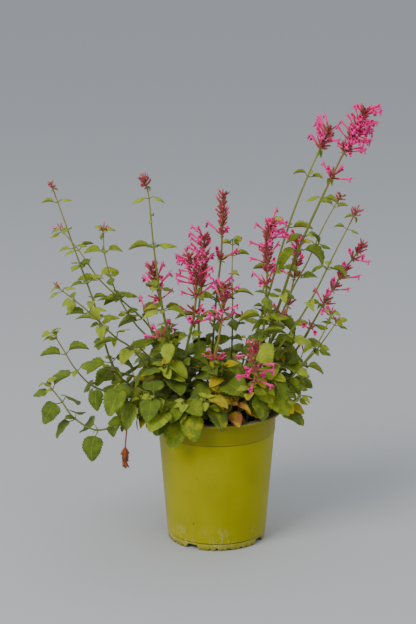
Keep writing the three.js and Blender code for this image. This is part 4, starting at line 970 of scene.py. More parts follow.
def wanted_fillers(stem, draw):
    """Distance along the stem, length and turn of each small leaf in the leaf axils and between
    the pairs. They are denser low in the middle of the plant."""
    line, nodes = stem["line"], stem["nodes"]
    wanted = []

    def want(distance, size, turn):
        least, more = FILL_BLADES[size]
        wanted.append((distance, least + more * draw(), turn))

    for node in nodes:
        x, y, height = line.point(node["distance"])
        inner = math.hypot(x, y) < INNER_RADIUS
        for quarter in range(4):
            blade = AXIL_BLADES[quarter % 2] * (0.8 + 0.5 * draw())
            blade *= 1.35 if inner and height < STEM_FILL_HEIGHT else 0.9
            if inner or draw() < OUTER_SHARE:
                wanted.append((node["distance"] + 1.5, blade, node["offset"] + 90 * quarter))
    if stem["thick"] == SHOOT_THICK:
        for share, quarter in itertools.product(SHOOT_FILL, range(4)):
            want(line.length * share, "shoot", 360 * draw() + 90 * quarter)
    else:
        for below, above in zip(nodes, nodes[1:]):
            middle = 0.5 * (below["distance"] + above["distance"])
            x, y, height = line.point(middle)
            if height < STEM_FILL_HEIGHT and math.hypot(x, y) < INNER_RADIUS:
                for half in (0, 180):
                    blade = FILL_BLADES["middle"][0] + FILL_BLADES["middle"][1] * draw()
                    wanted.append((middle, blade, 360 * draw() + half))
        for step in range(LOW_FILL_START, int(nodes[0]["distance"]) - 5, LOW_FILL_STEP):
            turn = 360 * draw()
            want(step, "low", turn)
            want(step, "low", turn + 180)
    if "spike" not in stem:
        for quarter in range(4):
            want(line.length - 1 - 3 * (quarter % 2), "tip", 90 * quarter)
    return wanted


def grow_fillers(room, stems, amount):
    """A share of the small leaves that are wanted, where each has room."""
    for index, stem in enumerate(stems):
        draw = draws(FILL_SEED + 57 * index)
        end = stem["spike"]["start"] if "spike" in stem else stem["line"].length
        leafy_end = end - BARE_BELOW_BUD if stem["name"] in BUD_HEADS else end
        stem["fillers"] = []
        for distance, blade, turn in wanted_fillers(stem, draw):
            if distance > end - 1 or draw() > amount:
                continue
            form_name = "narrow" if draw() < NARROW_SHARE else "small"
            leaf = place_leaf(room, stem, distance, blade, turn, form_name, SMALL_LEAF, draw)
            if leaf and distance <= leafy_end:
                stem["fillers"].append(leaf)


def grow_more_calyces(stem, share, draw):
    """Shorter calyces between those of each whorl, so that a head looks crowded."""
    for whorl in stem["whorls"]:
        for i in range(8):
            turn = math.radians(whorl["offset"] + 22 + 45 * i + 18 * (draw() - 0.5))
            reach = CALYX_LENGTH * whorl["taper"] * (0.75 + 0.35 * draw())
            spread = math.radians(30 + 34 * draw())
            lift = whorl["distance"] + 1.6 * (draw() - 0.4)
            if draw() < share and lift < stem["line"].length - 1:
                whorl["more"].append(spike_item(stem, lift, turn, spread, reach, "calyx"))


# Shapes that are repeated: leaves of length 1, and flowers and calyces in real size

def add_to_scene(name, data):
    thing = bpy.data.objects.new(name, data)
    bpy.context.scene.collection.objects.link(thing)
    return thing


def make_mesh(name, points, faces, uv=None, values=None):
    """A mesh from points in metres, with a value of each kind for each point."""
    mesh = bpy.data.meshes.new(name)
    mesh.from_pydata(
        [tuple(map(float, point)) for point in points], [], [tuple(map(int, f)) for f in faces])
    if uv is not None:
        layer = mesh.uv_layers.new(name="UVMap")
        corners = np.empty(len(mesh.loops), int)
        mesh.loops.foreach_get("vertex_index", corners)
        layer.data.foreach_set("uv", np.asarray(uv, float)[corners].ravel())
    for key, value in (values or {}).items():
        attribute = mesh.attributes.new(key, "FLOAT", "POINT")
        attribute.data.foreach_set("value", np.broadcast_to(value, len(points)).astype(float))
    mesh.update()
    return mesh


def join_parts(parts):
    """Points, faces and point values of several parts as one."""
    points, faces, values = [], [], {key: [] for key in parts[0][2]}
    for part_points, part_faces, part_values in parts:
        start = len(points)
        points.extend(part_points)
        faces.extend([tuple(start + k for k in face) for face in part_faces])
        for key in values:
            values[key].extend(np.broadcast_to(part_values[key], len(part_points)))
    return points, faces, {key: np.array(value) for key, value in values.items()}


def band_faces(a, b, columns):
    """Faces between two rings of points."""
    return [
        (a + j, a + (j + 1) % columns, b + (j + 1) % columns, b + j) for j in range(columns)
    ]


def loft_faces(rows, columns):
    """Faces of a closed skin over rings of points, with a cap at each end."""
    faces = [tuple(range(columns))[::-1]]
    for i in range(rows - 1):
        faces += band_faces(i * columns, (i + 1) * columns, columns)
    faces.append(tuple((rows - 1) * columns + j for j in range(columns)))
    return faces


def blade_faces(rows, columns):
    """Faces of a blade's upper side, its underside and the edge all round."""
    n = columns + 1
    under, last = n * (rows + 1), n * rows
    faces = []
    for i in range(rows):
        a, b = i * n, (i + 1) * n
        for j in range(columns):
            faces.append((a + j, b + j, b + j + 1, a + j + 1))
            faces.append((under + a + j + 1, under + b + j + 1, under + b + j, under + a + j))
        faces.append((under + a, under + b, b, a))
        faces.append((a + columns, b + columns, under + b + columns, under + a + columns))
    for j in range(columns):
        faces.append((j, j + 1, under + j + 1, under + j))
        faces.append((under + last + j, under + last + j + 1, last + j + 1, last + j))
    return faces


def leaf_shape(form_name, variant):
    """A closed toothed blade, quilted between its side veins, with a ribbed underside."""
    form = dict(LEAF_LOOK[form_name])
    teeth, columns, pairs = LEAF_DETAIL[form_name]
    rows = 3 * teeth
    lean, more_bend, more_fold, more_wave = LEAF_VARIANTS[variant]
    form["bend"] = min(form["bend"] * more_bend, MOST_BEND)
    form["fold"] = min(form["fold"] * more_fold, MOST_FOLD)
    form["wave"] *= more_wave
    t = np.linspace(0, 1, rows + 1)[:, None]
    s = np.linspace(-1, 1, columns + 1)[None, :]
    step = np.arange(rows + 1) % 3
    tooth = 0.05 if teeth > 5 else 0.02
    crest = np.array((1 - 1.6 * tooth, 1.0, 1 + tooth))[step][:, None]
    forward = np.array((-0.003, 0.0, 0.006))[step][:, None]
    outline = 0.5 * np.sin(np.pi * t ** form["near"]).clip(0) ** form["full"]
    outline = np.maximum(outline, 0.016 - 0.008 * t)
    edge = np.abs(s) ** 3
    half = outline * np.abs(s) * (1 + (crest - 1) * edge)
    bend = form["bend"] * t
    across = form["width"] * half * np.sign(s)
    vein = 0.5 - 0.5 * np.cos(2 * np.pi * pairs * (t - 0.8 * np.abs(across)))
    quilt = 0.016 * vein * (1 - edge) * np.minimum(1, 3 * np.abs(s)) * np.sin(np.pi * t) ** 0.5
    lift = (
        form["fold"] * half * 1.12 * np.abs(s) / (np.abs(s) + 0.12)
        + form["wave"] * np.sin(14 * t + np.sign(s) + 1.3 * variant) * np.abs(s) ** 1.4
        + 0.05 * lean * s * t * 20 * outline
        + quilt - 0.01 * np.exp(-((s / 0.1) ** 2)) * (1 - t)
    )
    x = np.sin(bend) / form["bend"] + lift * np.sin(bend) + forward * edge * np.cos(bend)
    y = across + lean * np.sin(np.pi * t) * (1 - 0.3 * t)
    z = lift * np.cos(bend) - (1 - np.cos(bend)) / form["bend"]
    middle = np.stack([x + 0 * s, y, z + 0 * s], -1)
    normal = np.stack([np.sin(bend) + 0 * s, 0 * y, np.cos(bend) + 0 * s], -1)
    thick = (0.009 - 0.005 * np.abs(s)) * np.ones_like(t)
    rib = 0.02 * np.exp(-((s / 0.14) ** 2)) * (1 - 0.8 * t)
    top = middle + normal * thick[..., None]
    under = middle - normal * (thick + rib)[..., None]
    points = np.concatenate([top.reshape(-1, 3), under.reshape(-1, 3)])
    uv = np.stack([t + 0 * s, 0.5 + across], -1).reshape(-1, 2)
    return make_mesh(
        f"{form_name} leaf", points, blade_faces(rows, columns), np.concatenate([uv, uv]),
        {
            "part": LEAF_PART, "under": np.repeat([0.0, 1.0], len(uv)),
            "margin": np.tile((edge + 0 * t).ravel(), 2),
            "along": np.tile((t + 0 * s).ravel(), 2),
        },
    )


def ring(x, radius, turns):
    angle = np.radians(np.asarray(turns, float))
    x = np.broadcast_to(x, angle.shape)
    return np.stack([x, radius * np.cos(angle), radius * np.sin(angle)], -1)


def skin(rings, part, reach):
    """A closed skin over rings given in millimetres."""
    rings = np.array(rings)
    points = rings.reshape(-1, 3) * MM
    faces = loft_faces(len(rings), rings.shape[1])
    return points, faces, {"part": part, "along": rings[..., 0].ravel() / reach}


def calyx_part(length):
    """A ribbed cup with five teeth."""
    turns = np.arange(10) * 36
    ribbed = np.tile((1.06, 0.94), 5)
    r, k = CUP[1], length / CALYX_LENGTH
    tooth = np.tile((length, 0.8 * length), 5)
    return skin([
        ring(0, 0.36, turns), ring(1.8 * k, 0.66 * r * ribbed, turns),
        ring(5.6 * k, r * ribbed, turns), ring(tooth, np.tile((0.86 * r, 0.98 * r), 5), turns),
        ring(0.72 * length, 0.62 * r, turns), ring(0.6 * length, 0.4 * r, turns),
    ], CALYX_PART, length)


def thread(points, radius, part, reach):
    """A thin three-sided thread through points in millimetres."""
    rings = []
    for x, y, z in points:
        one = ring(x, radius, (90, 210, 330))
        one[:, 1] += y
        one[:, 2] += z
        rings.append(one)
    return skin(rings, part, reach)


def flower_shape(variant):
    """A long tube flower in its calyx: two short upper lobes, two at the sides and a long lower
    lip that hangs."""
    lobes = (54, 126, 198, 270, 342)
    halves = (14, 14, 12, 22, 12)
    turns = np.array([
        lobe + step for lobe, half in zip(lobes, halves) for step in (-36, -half, half)
    ])
    notch = np.tile((True, False, False), 5)
    reach, r = BLOOM
    mouth = 0.84 * reach
    open_out = (1.0, 0.8, 1.16)[variant]

    def lobe_values(upper, side, lip, between):
        values = np.repeat((upper, upper, side, lip, side), 3).astype(float)
        return np.where(notch, between, values)

    tip_r = r * lobe_values(1.4, 1.9 * open_out, 3.4 * open_out, 1.1)
    tip_x = mouth + lobe_values(3.4, 1.8, -0.6, 0.8)
    half_r = r * lobe_values(1.2, 1.5, 2.3, 1.05)
    half_x = mouth + lobe_values(2, 1.9, 1.8, 0.5)
    rings = [
        ring(3.4, 0.5, turns), ring(10, 0.75, turns), ring(15, 1.05, turns), ring(20, 1.6, turns),
        ring(mouth, r, turns), ring(half_x, half_r, turns), ring(tip_x, tip_r, turns),
        ring(tip_x - 0.1, tip_r - 0.26, turns), ring(half_x - 0.1, half_r - 0.3, turns),
        ring(mouth - 0.2, r - 0.34, turns), ring(20, 1.1, turns), ring(15.5, 0.4, turns),
    ]
    rings = np.array(rings)
    rings[..., 2] += (0.5, -0.3, 0.8)[variant] * np.sin(np.pi * rings[..., 0] / reach)
    parts = [skin(rings, PETAL_PART, reach), calyx_part(11)]
    for y, z, x in ((0.5, 0.9, 1.6), (-0.6, 1.1, 1.1), (0.0, 0.5, 2.3)):
        parts.append(thread(
            [(mouth - 1, 0.5 * y, 0.4 * z), (reach - 1, y, z), (reach + x, 1.3 * y, z + 0.3)],
            0.17, PETAL_PART, reach,
        ))
    points, faces, values = join_parts(parts)
    return make_mesh("flower", points, faces, None, values)


def calyx_shape(with_bud):
    parts = [calyx_part(CUP[0])]
    if with_bud:
        turns = np.arange(6) * 60
        start = 0.66 * CUP[0]
        parts.append(skin([
            ring(start, 0.5, turns), ring(start + 3, 0.85, turns), ring(start + 6, 1.25, turns),
            ring(start + 8, 1.1, turns), ring(start + 9, 0.3, turns),
        ], PETAL_PART, BLOOM[0]))
    points, faces, values = join_parts(parts)
    return make_mesh("calyx", points, faces, None, values)


SHAPE_ORDER = [*LEAF_LOOK, "flower", "calyx", "bud"]


def shape_number(kind, variant):
    """Place of a shape in the sorted collection of shapes."""
    return 3 * SHAPE_ORDER.index(kind) + variant


def shape_collection():
    """All repeated shapes, three variants of each, in a collection outside the scene."""
    if "Hyssop shapes" in bpy.data.collections:
        return bpy.data.collections["Hyssop shapes"]
    shapes = bpy.data.collections.new("Hyssop shapes")
    for kind in SHAPE_ORDER:
        for variant in range(3):
            if kind in LEAF_LOOK:
                mesh = leaf_shape(kind, variant)
            elif kind == "flower":
                mesh = flower_shape(variant)
            else:
                mesh = calyx_shape(kind == "bud")
            shape = bpy.data.objects.new(f"shape_{shape_number(kind, variant):02d}", mesh)
            shapes.objects.link(shape)
    return shapes


def remove_shapes():
    shapes = bpy.data.collections.get("Hyssop shapes")
    if shapes:
        for shape in list(shapes.objects):
            mesh = shape.data
            bpy.data.objects.remove(shape)
            bpy.data.meshes.remove(mesh)
        bpy.data.collections.remove(shapes)


# The skeleton that a node tree dresses

class Skeleton:
    """Lines and single points with the values that the node tree reads."""

    NAMES = ("role", "thickness", "share", "size", "shape", "tint", "age")

    def __init__(self):
        self.points, self.edges, self.turns = [], [], []
        self.values = {name: [] for name in self.NAMES}

    def point(self, p, turn=(0, 0, 0), **values):
        self.points.append(scale(p, MM))
        self.turns.append(turn)
        for name in self.NAMES:
            self.values[name].append(values.get(name, 0.0))
        return len(self.points) - 1

    def line(self, points, role, thickness, shares, **values):
        last = None
        for p, thick, share in zip(points, thickness, shares):
            here = self.point(p, role=role, thickness=thick * MM, share=share, **values)
            if last is not None:
                self.edges.append((last, here))
            last = here

    def item(self, base, turn, shape, size, **values):
        self.point(base, turn, role=SHAPE_SPOT, shape=shape, size=size, **values)

    def to_object(self, name):
        mesh = bpy.data.meshes.new(name)
        mesh.from_pydata(self.points, self.edges, [])
        for key, numbers in self.values.items():
            mesh.attributes.new(key, "FLOAT", "POINT").data.foreach_set("value", numbers)
        turns = mesh.attributes.new("turn", "FLOAT_VECTOR", "POINT")
        turns.data.foreach_set("vector", np.array(self.turns, float).ravel())
        return add_to_scene(name, mesh)


# Node trees

class Nodes:
    """Adds nodes to a tree. An input given as a socket is linked, any other is a set value."""

    def __init__(self, tree):
        self.tree = tree

    def put(self, value, target):
        if isinstance(value, bpy.types.NodeSocket):
            self.tree.links.new(value, target)
        else:
            target.default_value = value

    def add(self, kind, inputs=None, **settings):
        node = self.tree.nodes.new(kind)
        for key, value in settings.items():
            setattr(node, key, value)
        for key, value in (inputs or {}).items():
            self.put(value, node.inputs[key])
        return node

    def maths(self, operation, *values, clamp_it=False):
        return self.add(
            "ShaderNodeMath", dict(enumerate(values)), operation=operation, use_clamp=clamp_it
        ).outputs[0]

    def times(self, value, factor, clamp_it=False):
        return self.maths("MULTIPLY", value, factor, clamp_it=clamp_it)

    def times_plus(self, value, factor, addend):
        return self.maths("MULTIPLY_ADD", value, factor, addend)

    def minus(self, value, other, clamp_it=False):
        return self.maths("SUBTRACT", value, other, clamp_it=clamp_it)

    def between(self, value, low, high, to_low=0.0, to_high=1.0):
        """The value mapped smoothly from one range to another."""
        return self.add(
            "ShaderNodeMapRange", {0: value, 1: low, 2: high, 3: to_low, 4: to_high},
            interpolation_type="SMOOTHSTEP",
        ).outputs[0]

    def blend(self, factor, first, second, how="MIX"):
        return self.add(
            "ShaderNodeMix", {0: factor, 6: rgba(first), 7: rgba(second)}, data_type="RGBA",
            blend_type=how,
        ).outputs[2]

    def noise(self, where, size, detail=3.0, rough=0.5):
        """Noise with features of a size in metres."""
        return self.add(
            "ShaderNodeTexNoise",
            {"Vector": where, "Scale": 1 / size, "Detail": detail, "Roughness": rough},
        ).outputs[0]

    def attribute(self, name):
        return self.add("ShaderNodeAttribute", None, attribute_name=name).outputs["Fac"]


def new_tree(name, kind, inputs, outputs):
    """The nodes of a new tree, what comes in and what goes out. An input is given by its name,
    type and default."""
    tree = bpy.data.node_groups.new(name, kind)
    for socket_name, socket_type, *default in inputs:
        socket = tree.interface.new_socket(
            socket_name, in_out="INPUT", socket_type=f"NodeSocket{socket_type}")
        if default:
            socket.default_value = default[0]
    for socket_name, socket_type in outputs:
        tree.interface.new_socket(
            socket_name, in_out="OUTPUT", socket_type=f"NodeSocket{socket_type}")
    nodes = Nodes(tree)
    return nodes, nodes.add("NodeGroupInput").outputs, nodes.add("NodeGroupOutput").inputs


def growth_tree():
    """Dresses a skeleton: square stems and round stalks along its lines, and a leaf, flower or
    calyx on each of its single points."""
    if "Hyssop growth" in bpy.data.node_groups:
        return bpy.data.node_groups["Hyssop growth"]
    finishes = ("Stem finish", "Leaf finish", "Petal finish", "Calyx finish")
    nodes, source, end = new_tree("Hyssop growth", "GeometryNodeTree", (
        ("Skeleton", "Geometry"), ("Shapes", "Collection"), ("Corner rounding", "Float", 0.34),
        ("Stalk sides", "Int", 6), *((finish, "Material") for finish in finishes),
    ), (("Plant", "Geometry"),))

    def named(name, data_type="FLOAT"):
        return nodes.add(
            "GeometryNodeInputNamedAttribute", {"Name": name}, data_type=data_type
        ).outputs["Attribute"]

    def about(field, value):
        return nodes.add(
            "FunctionNodeCompare", {"A": field, "B": value, "Epsilon": 0.3}, operation="EQUAL"
        ).outputs[0]

    def with_role(value):
        return nodes.add("GeometryNodeSeparateGeometry", {
            "Geometry": source["Skeleton"], "Selection": about(named("role"), value),
        }).outputs["Selection"]

    def tube(role, profile):
        path = nodes.add("GeometryNodeMeshToCurve", {"Mesh": with_role(role)}).outputs[0]
        return nodes.add("GeometryNodeCurveToMesh", {
            "Curve": path, "Profile Curve": profile, "Scale": named("thickness"),
            "Fill Caps": True,
        }).outputs[0]

    square = nodes.add("GeometryNodeCurvePrimitiveQuadrilateral", {"Width": 1.6, "Height": 1.6})
    rounded = nodes.add("GeometryNodeFilletCurve", {
        "Curve": square.outputs[0], "Radius": source["Corner rounding"], "Limit Radius": True,
        "Count": 1,
    }, mode="POLY")
    circle = nodes.add("GeometryNodeCurvePrimitiveCircle", {"Resolution": source["Stalk sides"]})
    turn = nodes.add("FunctionNodeEulerToRotation", {"Euler": named("turn", "FLOAT_VECTOR")})
    shapes = nodes.add("GeometryNodeCollectionInfo", {
        "Collection": source["Shapes"], "Separate Children": True, "Reset Children": True,
    })
    items = nodes.add("GeometryNodeInstanceOnPoints", {
        "Points": with_role(SHAPE_SPOT), "Instance": shapes.outputs[0], "Pick Instance": True,
        "Instance Index": named("shape"), "Rotation": turn.outputs[0], "Scale": named("size"),
    })
    whole = nodes.add("GeometryNodeJoinGeometry")
    stems, stalks = tube(STEM_LINE, rounded.outputs[0]), tube(STALK_LINE, circle.outputs[0])
    for part in (stems, stalks, items.outputs[0]):
        nodes.put(part, whole.inputs[0])
    result = nodes.add("GeometryNodeRealizeInstances", {"Geometry": whole.outputs[0]}).outputs[0]
    result = nodes.add("GeometryNodeSetShadeSmooth", {"Geometry": result}).outputs[0]
    for part, finish in enumerate(finishes):
        result = nodes.add("GeometryNodeSetMaterial", {
            "Geometry": result, "Selection": about(named("part"), float(part)),
            "Material": source[finish],
        }).outputs[0]
    nodes.put(result, end[0])
    return nodes.tree


def crumb_tree():
    """Scatters crumbs over the faces that have a corner above a height."""
    nodes, source, end = new_tree("Compost crumbs", "GeometryNodeTree", (
        ("Surface", "Geometry"), ("Crumb", "Object"), ("Density", "Float", 60000.0),
        ("Least size", "Float", 0.0007), ("Largest size", "Float", 0.0024),
        ("Height", "Float", 0.17), ("Finish", "Material"),
    ), (("Surface", "Geometry"),))
    place = nodes.add("GeometryNodeInputPosition").outputs[0]
    height = nodes.add("ShaderNodeSeparateXYZ", {0: place}).outputs[2]
    on_top = nodes.add("FunctionNodeCompare", {"A": height, "B": source["Height"]})
    spots = nodes.add("GeometryNodeDistributePointsOnFaces", {
        "Mesh": source["Surface"], "Selection": on_top.outputs[0],
        "Density": source["Density"], "Seed": 5,
    })

    def random_vector(low, high, seed):
        return nodes.add(
            "FunctionNodeRandomValue", {"Min": low, "Max": high, "Seed": seed},
            data_type="FLOAT_VECTOR",
        ).outputs[0]

    size = nodes.add("FunctionNodeRandomValue", {
        2: source["Least size"], 3: source["Largest size"], 8: 11,
    }, data_type="FLOAT").outputs[1]
    stretch = nodes.add("ShaderNodeVectorMath", {
        0: random_vector((0.6, 0.6, 0.35), (1.9, 1.1, 0.9), 12),
        "Scale": size,
    }, operation="SCALE")
    crumb = nodes.add("GeometryNodeObjectInfo", {"Object": source["Crumb"]})
    crumbs = nodes.add("GeometryNodeInstanceOnPoints", {
        "Points": spots.outputs[0], "Instance": crumb.outputs["Geometry"],
        "Rotation": random_vector((0, 0, 0), (6.3, 6.3, 6.3), 13), "Scale": stretch.outputs[0],
    })
    whole = nodes.add("GeometryNodeJoinGeometry")
    for part in (source["Surface"], crumbs.outputs[0]):
        nodes.put(part, whole.inputs[0])
    real = nodes.add("GeometryNodeRealizeInstances", {"Geometry": whole.outputs[0]})
    done = nodes.add("GeometryNodeSetMaterial", {
        "Geometry": real.outputs[0], "Material": source["Finish"],
    })
    nodes.put(done.outputs[0], end[0])
    return nodes.tree


def dress(piece, tree, values):
    """Runs the tree on the piece and keeps the result as its plain mesh."""
    modifier = piece.modifiers.new(tree.name, "NODES")
    modifier.node_group = tree
    for item in tree.interface.items_tree:
        if item.in_out == "INPUT" and item.name in values:
            modifier[item.identifier] = values[item.name]
    graph = bpy.context.evaluated_depsgraph_get()
    mesh = bpy.data.meshes.new_from_object(
        piece.evaluated_get(graph), preserve_all_data_layers=True, depsgraph=graph
    )
    piece.modifiers.remove(modifier)
    undressed = piece.data
    piece.data = mesh
    mesh.name = piece.name
    bpy.data.meshes.remove(undressed)
    return piece


# Finishes

def linear(red, green, blue):
    """A colour given as on a screen, 0 to 255, as Blender's linear colour."""
    def one(c):
        c /= 255
        return c / 12.92 if c <= 0.04045 else ((c + 0.055) / 1.055) ** 2.4
    return (one(red), one(green), one(blue))


def rgba(colour):
    """A socket as it is, or a colour with its fourth value."""
    return colour if isinstance(colour, bpy.types.NodeSocket) else (*colour[:3], 1.0)


def mottle_group():
    """Broad and fine unevenness over the piece's own coordinates."""
    if "Plant mottle" in bpy.data.node_groups:
        return bpy.data.node_groups["Plant mottle"]
    nodes, source, end = new_tree("Plant mottle", "ShaderNodeTree", (
        ("Patch size", "Float", 0.012), ("Grain size", "Float", 0.0012),
    ), (("Patches", "Float"), ("Grain", "Float")))
    where = nodes.add("ShaderNodeTexCoord").outputs["Object"]
    for socket, size, detail in (("Patches", "Patch size", 2.0), ("Grain", "Grain size", 3.0)):
        how_many = nodes.maths("DIVIDE", 1.0, source[size])
        noise = nodes.add(
            "ShaderNodeTexNoise", {"Vector": where, "Scale": how_many, "Detail": detail}
        ).outputs[0]
        nodes.put(nodes.between(noise, 0.3, 0.7), end[socket])
    return nodes.tree


def vein_group():
    """Rib and side veins of a blade, from its own map."""
    if "Leaf veins" in bpy.data.node_groups:
        return bpy.data.node_groups["Leaf veins"]
    nodes, source, end = new_tree("Leaf veins", "ShaderNodeTree", (
        ("Pairs", "Float", 6.0), ("Forward lean", "Float", 0.8),
    ), (("Rib", "Float"), ("Veins", "Float"), ("Net", "Float")))
    where = nodes.add("ShaderNodeUVMap", None, uv_map="UVMap").outputs[0]
    along, across, _ = nodes.add("ShaderNodeSeparateXYZ", {0: where}).outputs
    off = nodes.maths("ABSOLUTE", nodes.minus(across, 0.5))
    lean = nodes.times(off, source["Forward lean"])
    place = nodes.times(nodes.minus(along, lean), source["Pairs"])
    gap = nodes.maths("PINGPONG", place, 0.5)
    side = nodes.between(gap, 0.015, 0.13, 1.0, 0.0)
    side = nodes.times(side, nodes.between(off, 0.1, 0.45, 0.75, 0.2))
    cells = nodes.add(
        "ShaderNodeTexVoronoi", {"Vector": where, "Scale": 34.0}, feature="DISTANCE_TO_EDGE"
    ).outputs[0]
    nodes.put(nodes.between(off, 0.006, 0.026, 1.0, 0.0), end["Rib"])
    nodes.put(side, end["Veins"])
    nodes.put(nodes.between(cells, 0.0, 0.16), end["Net"])
    return nodes.tree


class Finish(Nodes):
    """A material with its Principled shader. Uniform values are set on the shader's sockets."""

    def __init__(self, name, **sockets):
        self.material = bpy.data.materials.new(name)
        self.material.use_nodes = True
        super().__init__(self.material.node_tree)
        self.shader = self.tree.nodes["Principled BSDF"]
        for key, value in sockets.items():
            self.shader.inputs[key.replace("_", " ")].default_value = value
        self.where = self.add("ShaderNodeTexCoord").outputs["Object"]

    def feed(self, name, socket):
        self.put(socket, self.shader.inputs[name])

    def group(self, tree, **inputs):
        node = self.add("ShaderNodeGroup", None, node_tree=tree)
        for key, value in inputs.items():
            node.inputs[key.replace("_", " ")].default_value = value
        return node.outputs

    def relief(self, height, depth, strength=1.0):
        """Bump of a depth in metres."""
        bump = self.add("ShaderNodeBump", {
            "Height": height, "Distance": depth, "Strength": strength,
        })
        self.feed("Normal", bump.outputs[0])

    def grainy(self, grain, rough_gain, rough, depth, strength):
        """Roughness and bump that follow the grain."""
        self.feed("Roughness", self.times_plus(grain, rough_gain, rough))
        self.relief(grain, depth, strength)


def leaf_finish(name, settings, age_shift=0.0):
    finish = Finish(name, Specular_IOR_Level=0.3, Sheen_Weight=0.06, Sheen_Roughness=0.45)
    mottle = finish.group(mottle_group(), Patch_size=0.011, Grain_size=0.0009)
    veins = finish.group(vein_group())
    # The tint is a random tone, lowered by painted shade deep in the bush.
    tint = finish.attribute("tint")
    uneven = finish.times_plus(mottle["Patches"], 0.35, tint)
    green = finish.blend(
        finish.times(uneven, 0.74, clamp_it=True), settings.dark_leaf, settings.leaf)
    pale = finish.blend(finish.minus(uneven, 0.72, clamp_it=True), green, settings.pale_leaf)
    age = finish.maths("ADD", finish.attribute("age"), age_shift)
    rim = finish.times(finish.attribute("margin"), age)
    worn = finish.times_plus(rim, 0.5, age)
    worn = finish.times_plus(finish.minus(mottle["Patches"], 0.5), 0.55, worn)
    colour = finish.blend(finish.between(worn, 0.3, 0.95), pale, settings.yellow_leaf)
    colour = finish.blend(finish.between(worn, 1.15, 1.85), colour, settings.brown_leaf)
    # Painted shade: the sunken side veins are darkened towards the dark leaf colour.
    colour = finish.blend(finish.times(veins["Veins"], 0.3), colour, settings.dark_leaf)
    colour = finish.blend(finish.times(veins["Rib"], 0.3), colour, settings.vein)
    below = finish.times(finish.attribute("under"), 0.38)
    finish.feed("Base Color", finish.blend(below, colour, settings.underside))
    finish.feed("Roughness", finish.times_plus(mottle["Grain"], 0.16, 0.46))
    sunk = finish.times(finish.maths("MAXIMUM", veins["Rib"], veins["Veins"]), -0.9)
    height = finish.times_plus(veins["Net"], 0.3, sunk)
    finish.relief(finish.times_plus(mottle["Grain"], 0.25, height), 0.0006, 0.9)
    return finish.material


def stem_finish(name, low, middle, high):
    finish = Finish(name, Specular_IOR_Level=0.4, Sheen_Weight=0.12)
    mottle = finish.group(mottle_group(), Patch_size=0.009, Grain_size=0.0008)
    share = finish.attribute("share")
    uneven = finish.times_plus(mottle["Patches"], 0.16, share)
    colour = finish.blend(finish.between(uneven, 0.04, 0.42), low, middle)
    colour = finish.blend(finish.between(uneven, 0.62, 1.1), colour, high)
    dots = finish.times(mottle["Grain"], 0.22)
    finish.feed("Base Color", finish.blend(dots, colour, low, "MULTIPLY"))
    finish.grainy(mottle["Grain"], 0.2, 0.42, 0.0002, 0.6)
    return finish.material


def petal_finish(settings):
    finish = Finish(
        "Hyssop petal", Specular_IOR_Level=0.35, Sheen_Weight=0.25, Sheen_Roughness=0.4,
        Subsurface_Weight=0.12, Subsurface_Scale=0.002,
    )
    mottle = finish.group(mottle_group(), Patch_size=0.006, Grain_size=0.0006)
    along = finish.attribute("along")
    colour = finish.blend(finish.between(along, 0.25, 0.7), settings.petal_base, settings.petal)
    tip = finish.times(finish.between(along, 0.62, 1.0),
        finish.between(mottle["Patches"], 0.0, 1.0, 0.25, 0.95),
    )
    colour = finish.blend(tip, colour, settings.petal_tip)
    shade = finish.times(finish.attribute("tint"), 0.3)
    finish.feed("Base Color", finish.blend(shade, colour, settings.petal_base))
    finish.grainy(mottle["Grain"], 0.15, 0.42, 0.00012, 0.5)
    return finish.material


def calyx_finish(name, foot, body, tip):
    finish = Finish(name, Specular_IOR_Level=0.35, Sheen_Weight=0.3, Sheen_Roughness=0.5)
    mottle = finish.group(mottle_group(), Patch_size=0.005, Grain_size=0.0006)
    along = finish.attribute("along")
    uneven = finish.times_plus(mottle["Patches"], 0.25, along)
    colour = finish.blend(finish.between(uneven, 0.08, 0.4), foot, body)
    colour = finish.blend(finish.between(uneven, 0.7, 1.15), colour, tip)
    shade = finish.times(finish.attribute("tint"), 0.35)
    finish.feed("Base Color", finish.blend(shade, colour, tip, "MULTIPLY"))
    finish.grainy(mottle["Grain"], 0.2, 0.48, 0.0002, 0.7)
    return finish.material


def scuff_group():
    """Upright smears and small specks on moulded plastic."""
    nodes, source, end = new_tree("Plastic scuffs", "ShaderNodeTree", (
        ("Height", "Float", 0.042),
    ), (("Smears", "Float"), ("Specks", "Float")))
    where = nodes.add("ShaderNodeTexCoord").outputs["Object"]
    upright = nodes.add(
        "ShaderNodeMapping", {"Vector": where, "Scale": (1.0, 1.0, 0.22)}
    ).outputs[0]
    streak = nodes.between(nodes.noise(upright, 0.0042, 4.0, 0.6), 0.45, 0.64)
    patch = nodes.between(nodes.noise(where, 0.03, 3.0), 0.36, 0.56)
    flecks = nodes.between(nodes.noise(where, 0.0022, 2.0), 0.4, 0.62)
    x, _, z = nodes.add("ShaderNodeSeparateXYZ", {0: where}).outputs
    low = nodes.add("ShaderNodeMapRange", {0: z, 1: 0.012, 2: source["Height"], 3: 1.0, 4: 0.04})
    marks = nodes.times(nodes.times(streak, patch), flecks)
    marks = nodes.times(nodes.times(marks, nodes.between(x, 0.0, 0.03, 1.0, 0.3)), low.outputs[0])
    nodes.put(marks, end["Smears"])
    cells = nodes.add("ShaderNodeTexVoronoi", {"Vector": where, "Scale": 70.0}).outputs
    spot = nodes.between(cells["Distance"], 0.03, 0.065, 1.0, 0.0)
    chosen = nodes.between(nodes.noise(where, 0.03, 1.0), 0.55, 0.6)
    nodes.put(nodes.times(spot, chosen), end["Specks"])
    return nodes.tree


